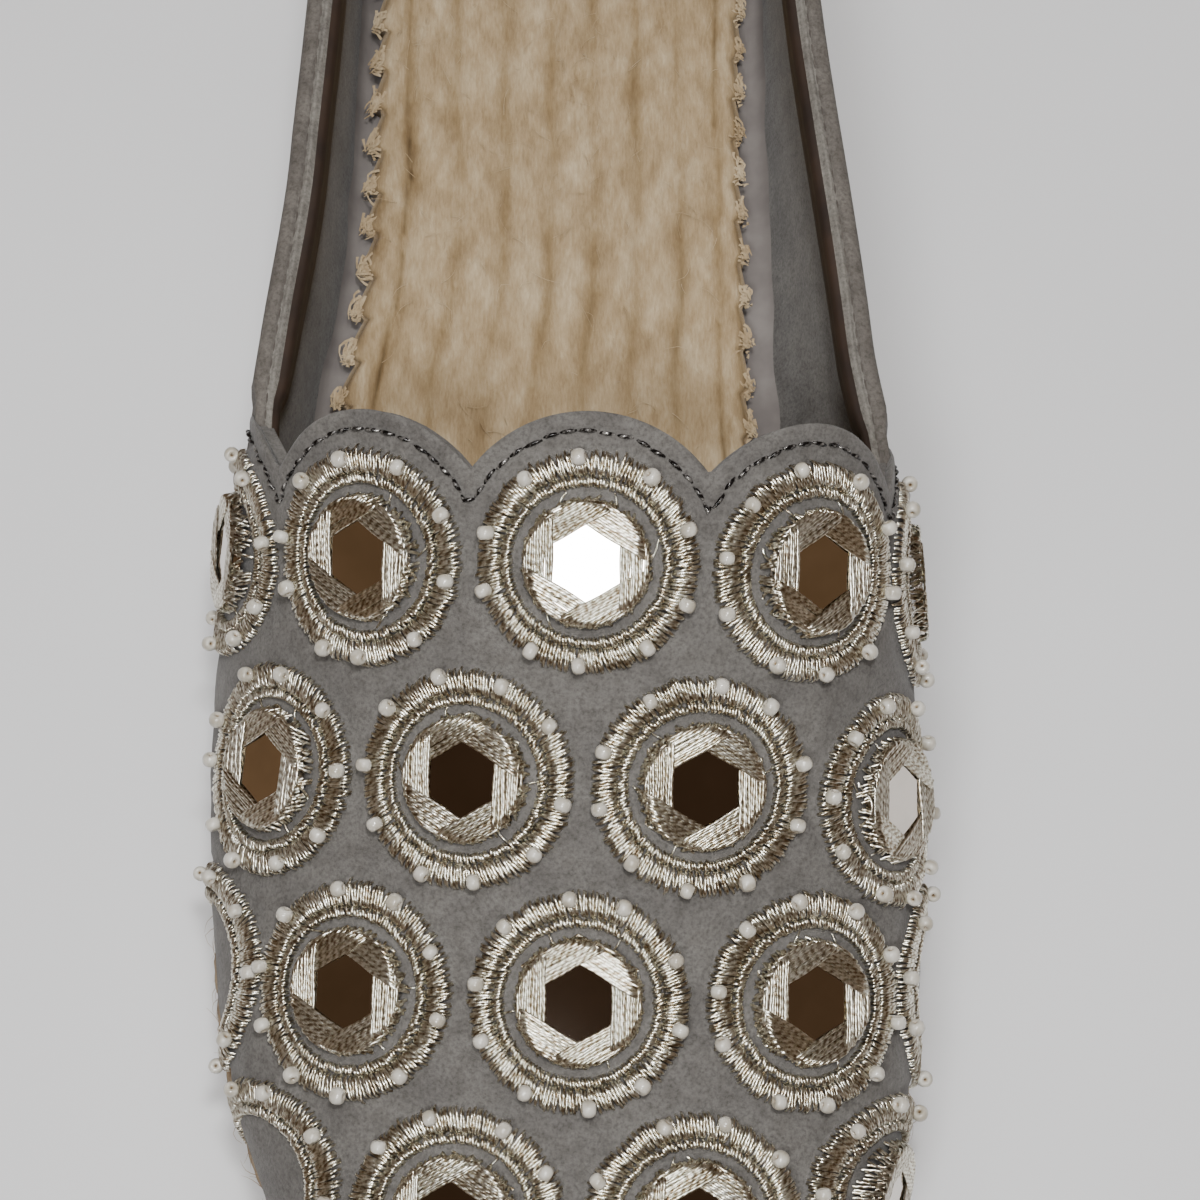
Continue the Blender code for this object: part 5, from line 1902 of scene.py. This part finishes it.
    def build_fibres(self, grid: Array) -> None:
        """Scatter loose fibres over the braid, and set tufts along its edges."""
        rng = np.random.default_rng(31)
        rows = rng.integers(8, len(grid) - 8, self.hairs)
        columns = rng.integers(1, grid.shape[1] - 1, self.hairs)
        starts = grid[rows, columns]
        heading = rng.normal(0.0, 0.7, self.hairs) + np.pi * rng.integers(0, 2, self.hairs)
        runs = np.stack([np.sin(heading), np.cos(heading), 0.0 * heading], 1)
        length = rng.uniform(1.6, 5.0, self.hairs) * MM
        threads = Strands()
        threads.lay_fibres(starts, runs, length, rng.uniform(0.25, 0.95, self.hairs) * MM, rng)
        for side in Side:
            places = self.tuft_places(side)
            count = len(places) * self.tuft_hairs
            spread = rng.normal(0.0, 1.0, (count, 3)) * np.array([0.5, 1.0, 0.35]) * MM
            roots = np.repeat(places, self.tuft_hairs, 0)
            starts = roots + spread + np.array([0.0, 0.9, 0.0]) * MM
            goal = roots + np.array([side.value * self.tuft_reach, -0.5 * MM, 0.0])
            goal = goal + rng.normal(0.0, 0.38 * MM, (count, 3))
            length = np.linalg.norm(goal - starts, axis=1) * rng.uniform(0.45, 1.0, count)
            length = length * (1.0 if side is Side.OUTER else 0.6)
            runs = unit(goal - starts)
            hump = rng.uniform(0.0, 0.3, count) * MM
            threads.lay_fibres(starts, runs, length, hump, rng, self.tuft_girth)
        obj = threads.to_object("footbed_fibres")
        carry(obj, "relief", np.full(threads.count, 1.0))
        dress(obj, Slot.INSOLE, self.finishes.footbed, angle=80.0)

    def tuft_places(self, side: Side) -> Array:
        """Find where the edge's lumps break off."""
        shift = self.inner_shift if side is Side.INNER else 0.0
        y = -(np.arange(-16, 17) + 0.92 - shift) * self.chevron
        shares = 0.5 - y / LENGTH
        shares = shares[(shares > 0.05) & (shares < 0.95)]
        return self.edge_line(shares, side, -INSOLE_INSET - 0.2 * MM, INSOLE_TOP - 0.4 * MM)


@dataclass
class RopeSole:
    """Three rounds of braided rope on one another, with loose fibres."""

    finishes: Finishes
    half_stations: int = 420
    fine_stations: int = 3000
    steps: int = 9
    chevron: float = 6.5 * MM
    relief: float = 0.62 * MM
    hairs: int = 1500

    def shares(self) -> Array:
        """Spread shares evenly along the outline."""
        fine = even_shares(self.fine_stations)
        at = lengths(LAST.outline(fine, Side.OUTER, 0.0, 0.0))
        return np.interp(np.linspace(0.0, at[-1], self.half_stations + 1), at, fine)

    def build(self) -> None:
        """Model and dress the rope rounds."""
        shares = self.shares()
        plan = LAST.ring(shares, 0.0, 0.0)
        at = lengths(plan)
        ahead = np.roll(plan, -1, 0) - np.roll(plan, 1, 0)
        outward = unit(quarter_turn(ahead))
        outward = outward * np.sign((outward * (plan - plan.mean(0))).sum(1))[:, None]
        middle = np.full(len(at), 0.5)
        rows, reliefs = [self.axis_row(shares, SOLE_BOTTOM)], [middle]
        for number in range(ROPE_ROUNDS):
            for step in np.linspace(-1.0, 1.0, self.steps):
                if number and step == -1.0:
                    continue
                body = cord_height(step)
                z = SOLE_BOTTOM + (number + 0.5 + 0.5 * step) * ROPE_THICKNESS
                phase = at / self.chevron + 0.5 * abs(step) + 0.5 * (step > 0.0) + 0.31 * number
                strand = strand_height(phase)
                points = LAST.ring(shares, -ROPE_DIP * (1.0 - body), z)
                rows.append(points + outward * (self.relief * (strand - 0.62) * body**0.5)[:, None])
                # Relief value for the finish: lower between the rounds and between the strands, where the
                # rope's colour is darkened as painted shade.
                reliefs.append(body * (0.5 + 0.5 * strand))
        rows.append(self.axis_row(shares, SOLE_TOP))
        reliefs.append(middle)
        obj = loft("rope_sole", settle(np.array(rows)))
        relief = np.array(reliefs)
        carry(obj, "relief", np.concatenate([relief, relief[:, :1]], 1))
        weld(obj, 0.002 * MM)
        dress(obj, Slot.SOLE, self.finishes.rope, angle=80.0)
        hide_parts("sole")
        self.build_fibres(np.array(rows[1:-1]), outward)

    def build_fibres(self, rows: Array, outward: Array) -> None:
        """Let short fibres stand off the rope."""
        rng = np.random.default_rng(41)
        levels = rng.integers(1, len(rows) - 1, self.hairs)
        around = rng.integers(0, rows.shape[1], self.hairs)
        starts, away = rows[levels, around], outward[around]
        along = -quarter_turn(away) * rng.choice((-1.0, 1.0), (self.hairs, 1))
        lean = away * rng.uniform(0.05, 0.5, (self.hairs, 1))
        runs = unit(along + lean + rng.normal(0.0, 0.2, (self.hairs, 3)))
        length = rng.uniform(1.2, 3.6, self.hairs) * MM
        threads = Strands()
        threads.lay_fibres(starts, runs, length, 0.0 * length, rng)
        obj = threads.to_object("rope_fibres")
        carry(obj, "relief", np.full(threads.count, 1.0))
        dress(obj, Slot.SOLE, self.finishes.rope, angle=80.0)

    @staticmethod
    def axis_row(shares: Array, z: float) -> Array:
        """Lay the middle line there and back, which closes the top or the bottom."""
        line = np.stack([LAST.axis(shares), LENGTH * (0.5 - shares), np.full(len(shares), z)], 1)
        return np.concatenate([line, line[-2:0:-1]])


# Kept pieces, light and camera

MIRRORED = {int(name[-2:]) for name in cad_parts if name.startswith("mirror_")}


def dress_kept(finishes: Finishes) -> None:
    """Give the nodes that stay as they are their finishes."""
    for name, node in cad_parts.items():
        material = {"mirr": finishes.glass, "outs": finishes.rubber}.get(name[:4])
        if material:
            for slot in node.material_slots:
                slot.material = material


@dataclass(frozen=True)
class Lamp:
    """An area light aimed at a point."""

    name: str
    place: tuple[float, float, float]
    target: tuple[float, float, float]
    size: float
    power: float
    colour: Colour = WHITE
    glossy: bool = True

    def add(self) -> None:
        """Place the light."""
        bpy.ops.object.light_add(type="AREA", location=self.place)
        lamp = bpy.context.object
        lamp.name = self.name
        lamp.data.size = self.size
        lamp.data.energy = self.power
        lamp.data.color = self.colour
        lamp.visible_glossy = self.glossy
        aim = Vector(self.target) - Vector(self.place)
        lamp.rotation_euler = aim.to_track_quat("-Z", "Y").to_euler()


CAMERA_PLACE = np.array([4.4, -118.2, 346.2]) * MM + FRAME_SHIFT


def seen_in_mirror(name: str, distance: float) -> Array:
    """Find the point, so far from a mirror, that the camera sees in it.

    Args:
        name: The mirror's node.
        distance: Distance from the mirror.

    Returns:
        The point.
    """
    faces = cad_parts[name].data.polygons
    top = max((face for face in faces if face.normal.z > 0.0), key=lambda face: face.area)
    centre, normal = np.array(top.center), np.array(top.normal)
    view = unit(CAMERA_PLACE - centre)
    return centre + distance * (2.0 * (normal @ view) * normal - view)


class Stage:
    """The floor, the lights, the surroundings and the camera."""

    floor_x = (-0.16, 0.26)
    floor_y = (-0.35, 0.6)
    backdrop_radius = 3.0
    room = ((0.15, (0.16, 0.10, 0.055)), (0.75, (0.045, 0.026, 0.015)))
    camera_tilt = math.radians(17.91)
    camera_lens = 76.7
    sensor = 36.0
    window_distance = 0.6
    lamps = (
        Lamp("flash", (0.03, -0.05, 0.50), (0.0, -0.03, 0.03), 0.05, 1.6),
        Lamp("overhead", (-0.1, 0.2, 1.3), (0.0, 0.0, 0.0), 1.2, 10.8, glossy=False),
    )

    def __init__(self, finishes: Finishes) -> None:
        """Set everything up."""
        self.add_floor(finishes)
        window = tuple(seen_in_mirror("mirror_03", self.window_distance))
        glint = Lamp("window", window, (0.0, -0.02, 0.06), 0.13, 2.0, (0.97, 0.99, 1.0))
        for lamp in (*self.lamps, glint):
            lamp.add()
        self.add_surroundings()
        self.add_camera()

    def add_floor(self, finishes: Finishes) -> None:
        """Lay a pale floor that ends near the outer side, in a pale backdrop that only the camera sees."""
        (left, right), (front, back) = self.floor_x, self.floor_y
        corners = [(left, front, 0.0), (right, front, 0.0), (right, back, 0.0), (left, back, 0.0)]
        floor = from_arrays("floor", np.array(corners), np.array([[0, 1, 2, 3]]))
        floor.data.materials.append(finishes.floor)
        start_clean()
        bpy.ops.mesh.primitive_uv_sphere_add(segments=48, ring_count=24, radius=self.backdrop_radius)
        backdrop = bpy.context.object
        backdrop.name = "backdrop"
        backdrop.data.materials.append(finishes.backdrop)
        for rays in ("diffuse", "glossy", "transmission", "shadow"):
            setattr(backdrop, "visible_" + rays, False)

    def add_surroundings(self) -> None:
        """Surround the shoe with a dim brown room, lighter near the horizon."""
        world = bpy.data.worlds.new("room")
        bpy.context.scene.world = world
        world.use_nodes = True
        nodes, links = world.node_tree.nodes, world.node_tree.links
        direction = nodes.new("ShaderNodeTexCoord")
        parts = nodes.new("ShaderNodeSeparateXYZ")
        ramp = nodes.new("ShaderNodeValToRGB")
        links.new(direction.outputs["Generated"], parts.inputs[0])
        links.new(parts.outputs["Z"], ramp.inputs["Fac"])
        links.new(ramp.outputs["Color"], nodes["Background"].inputs["Color"])
        for element, (position, colour) in zip(ramp.color_ramp.elements, self.room):
            element.position = position
            element.color = (*colour, 1.0)

    def add_camera(self) -> None:
        """Look down on the vamp from over the toe, a little towards the heel, as in the photo."""
        bpy.ops.object.camera_add(location=CAMERA_PLACE, rotation=(self.camera_tilt, 0.0, 0.0))
        camera = bpy.context.object
        camera.name = "photo_camera"
        camera.data.lens = self.camera_lens
        camera.data.sensor_width = self.sensor
        bpy.context.scene.camera = camera


def main() -> None:
    """Build the shoe, piece by piece, and its stage."""
    logging.basicConfig(level=logging.INFO, format="%(message)s")
    finishes = Finishes()
    pattern = Pattern()
    dress_kept(finishes)
    upper = Upper(pattern, finishes)
    upper.build_shell()
    upper.build_vamp()
    upper.build_margin()
    upper.build_stitches()
    works = [RingWork(pattern, place) for place in pattern.places]
    for work in works:
        work.build(finishes)
    Beads(works, finishes).build()
    Binding(pattern, finishes).build()
    Footbed(finishes).build()
    RopeSole(finishes).build()
    Stage(finishes)


if __name__ == "__main__":
    main()
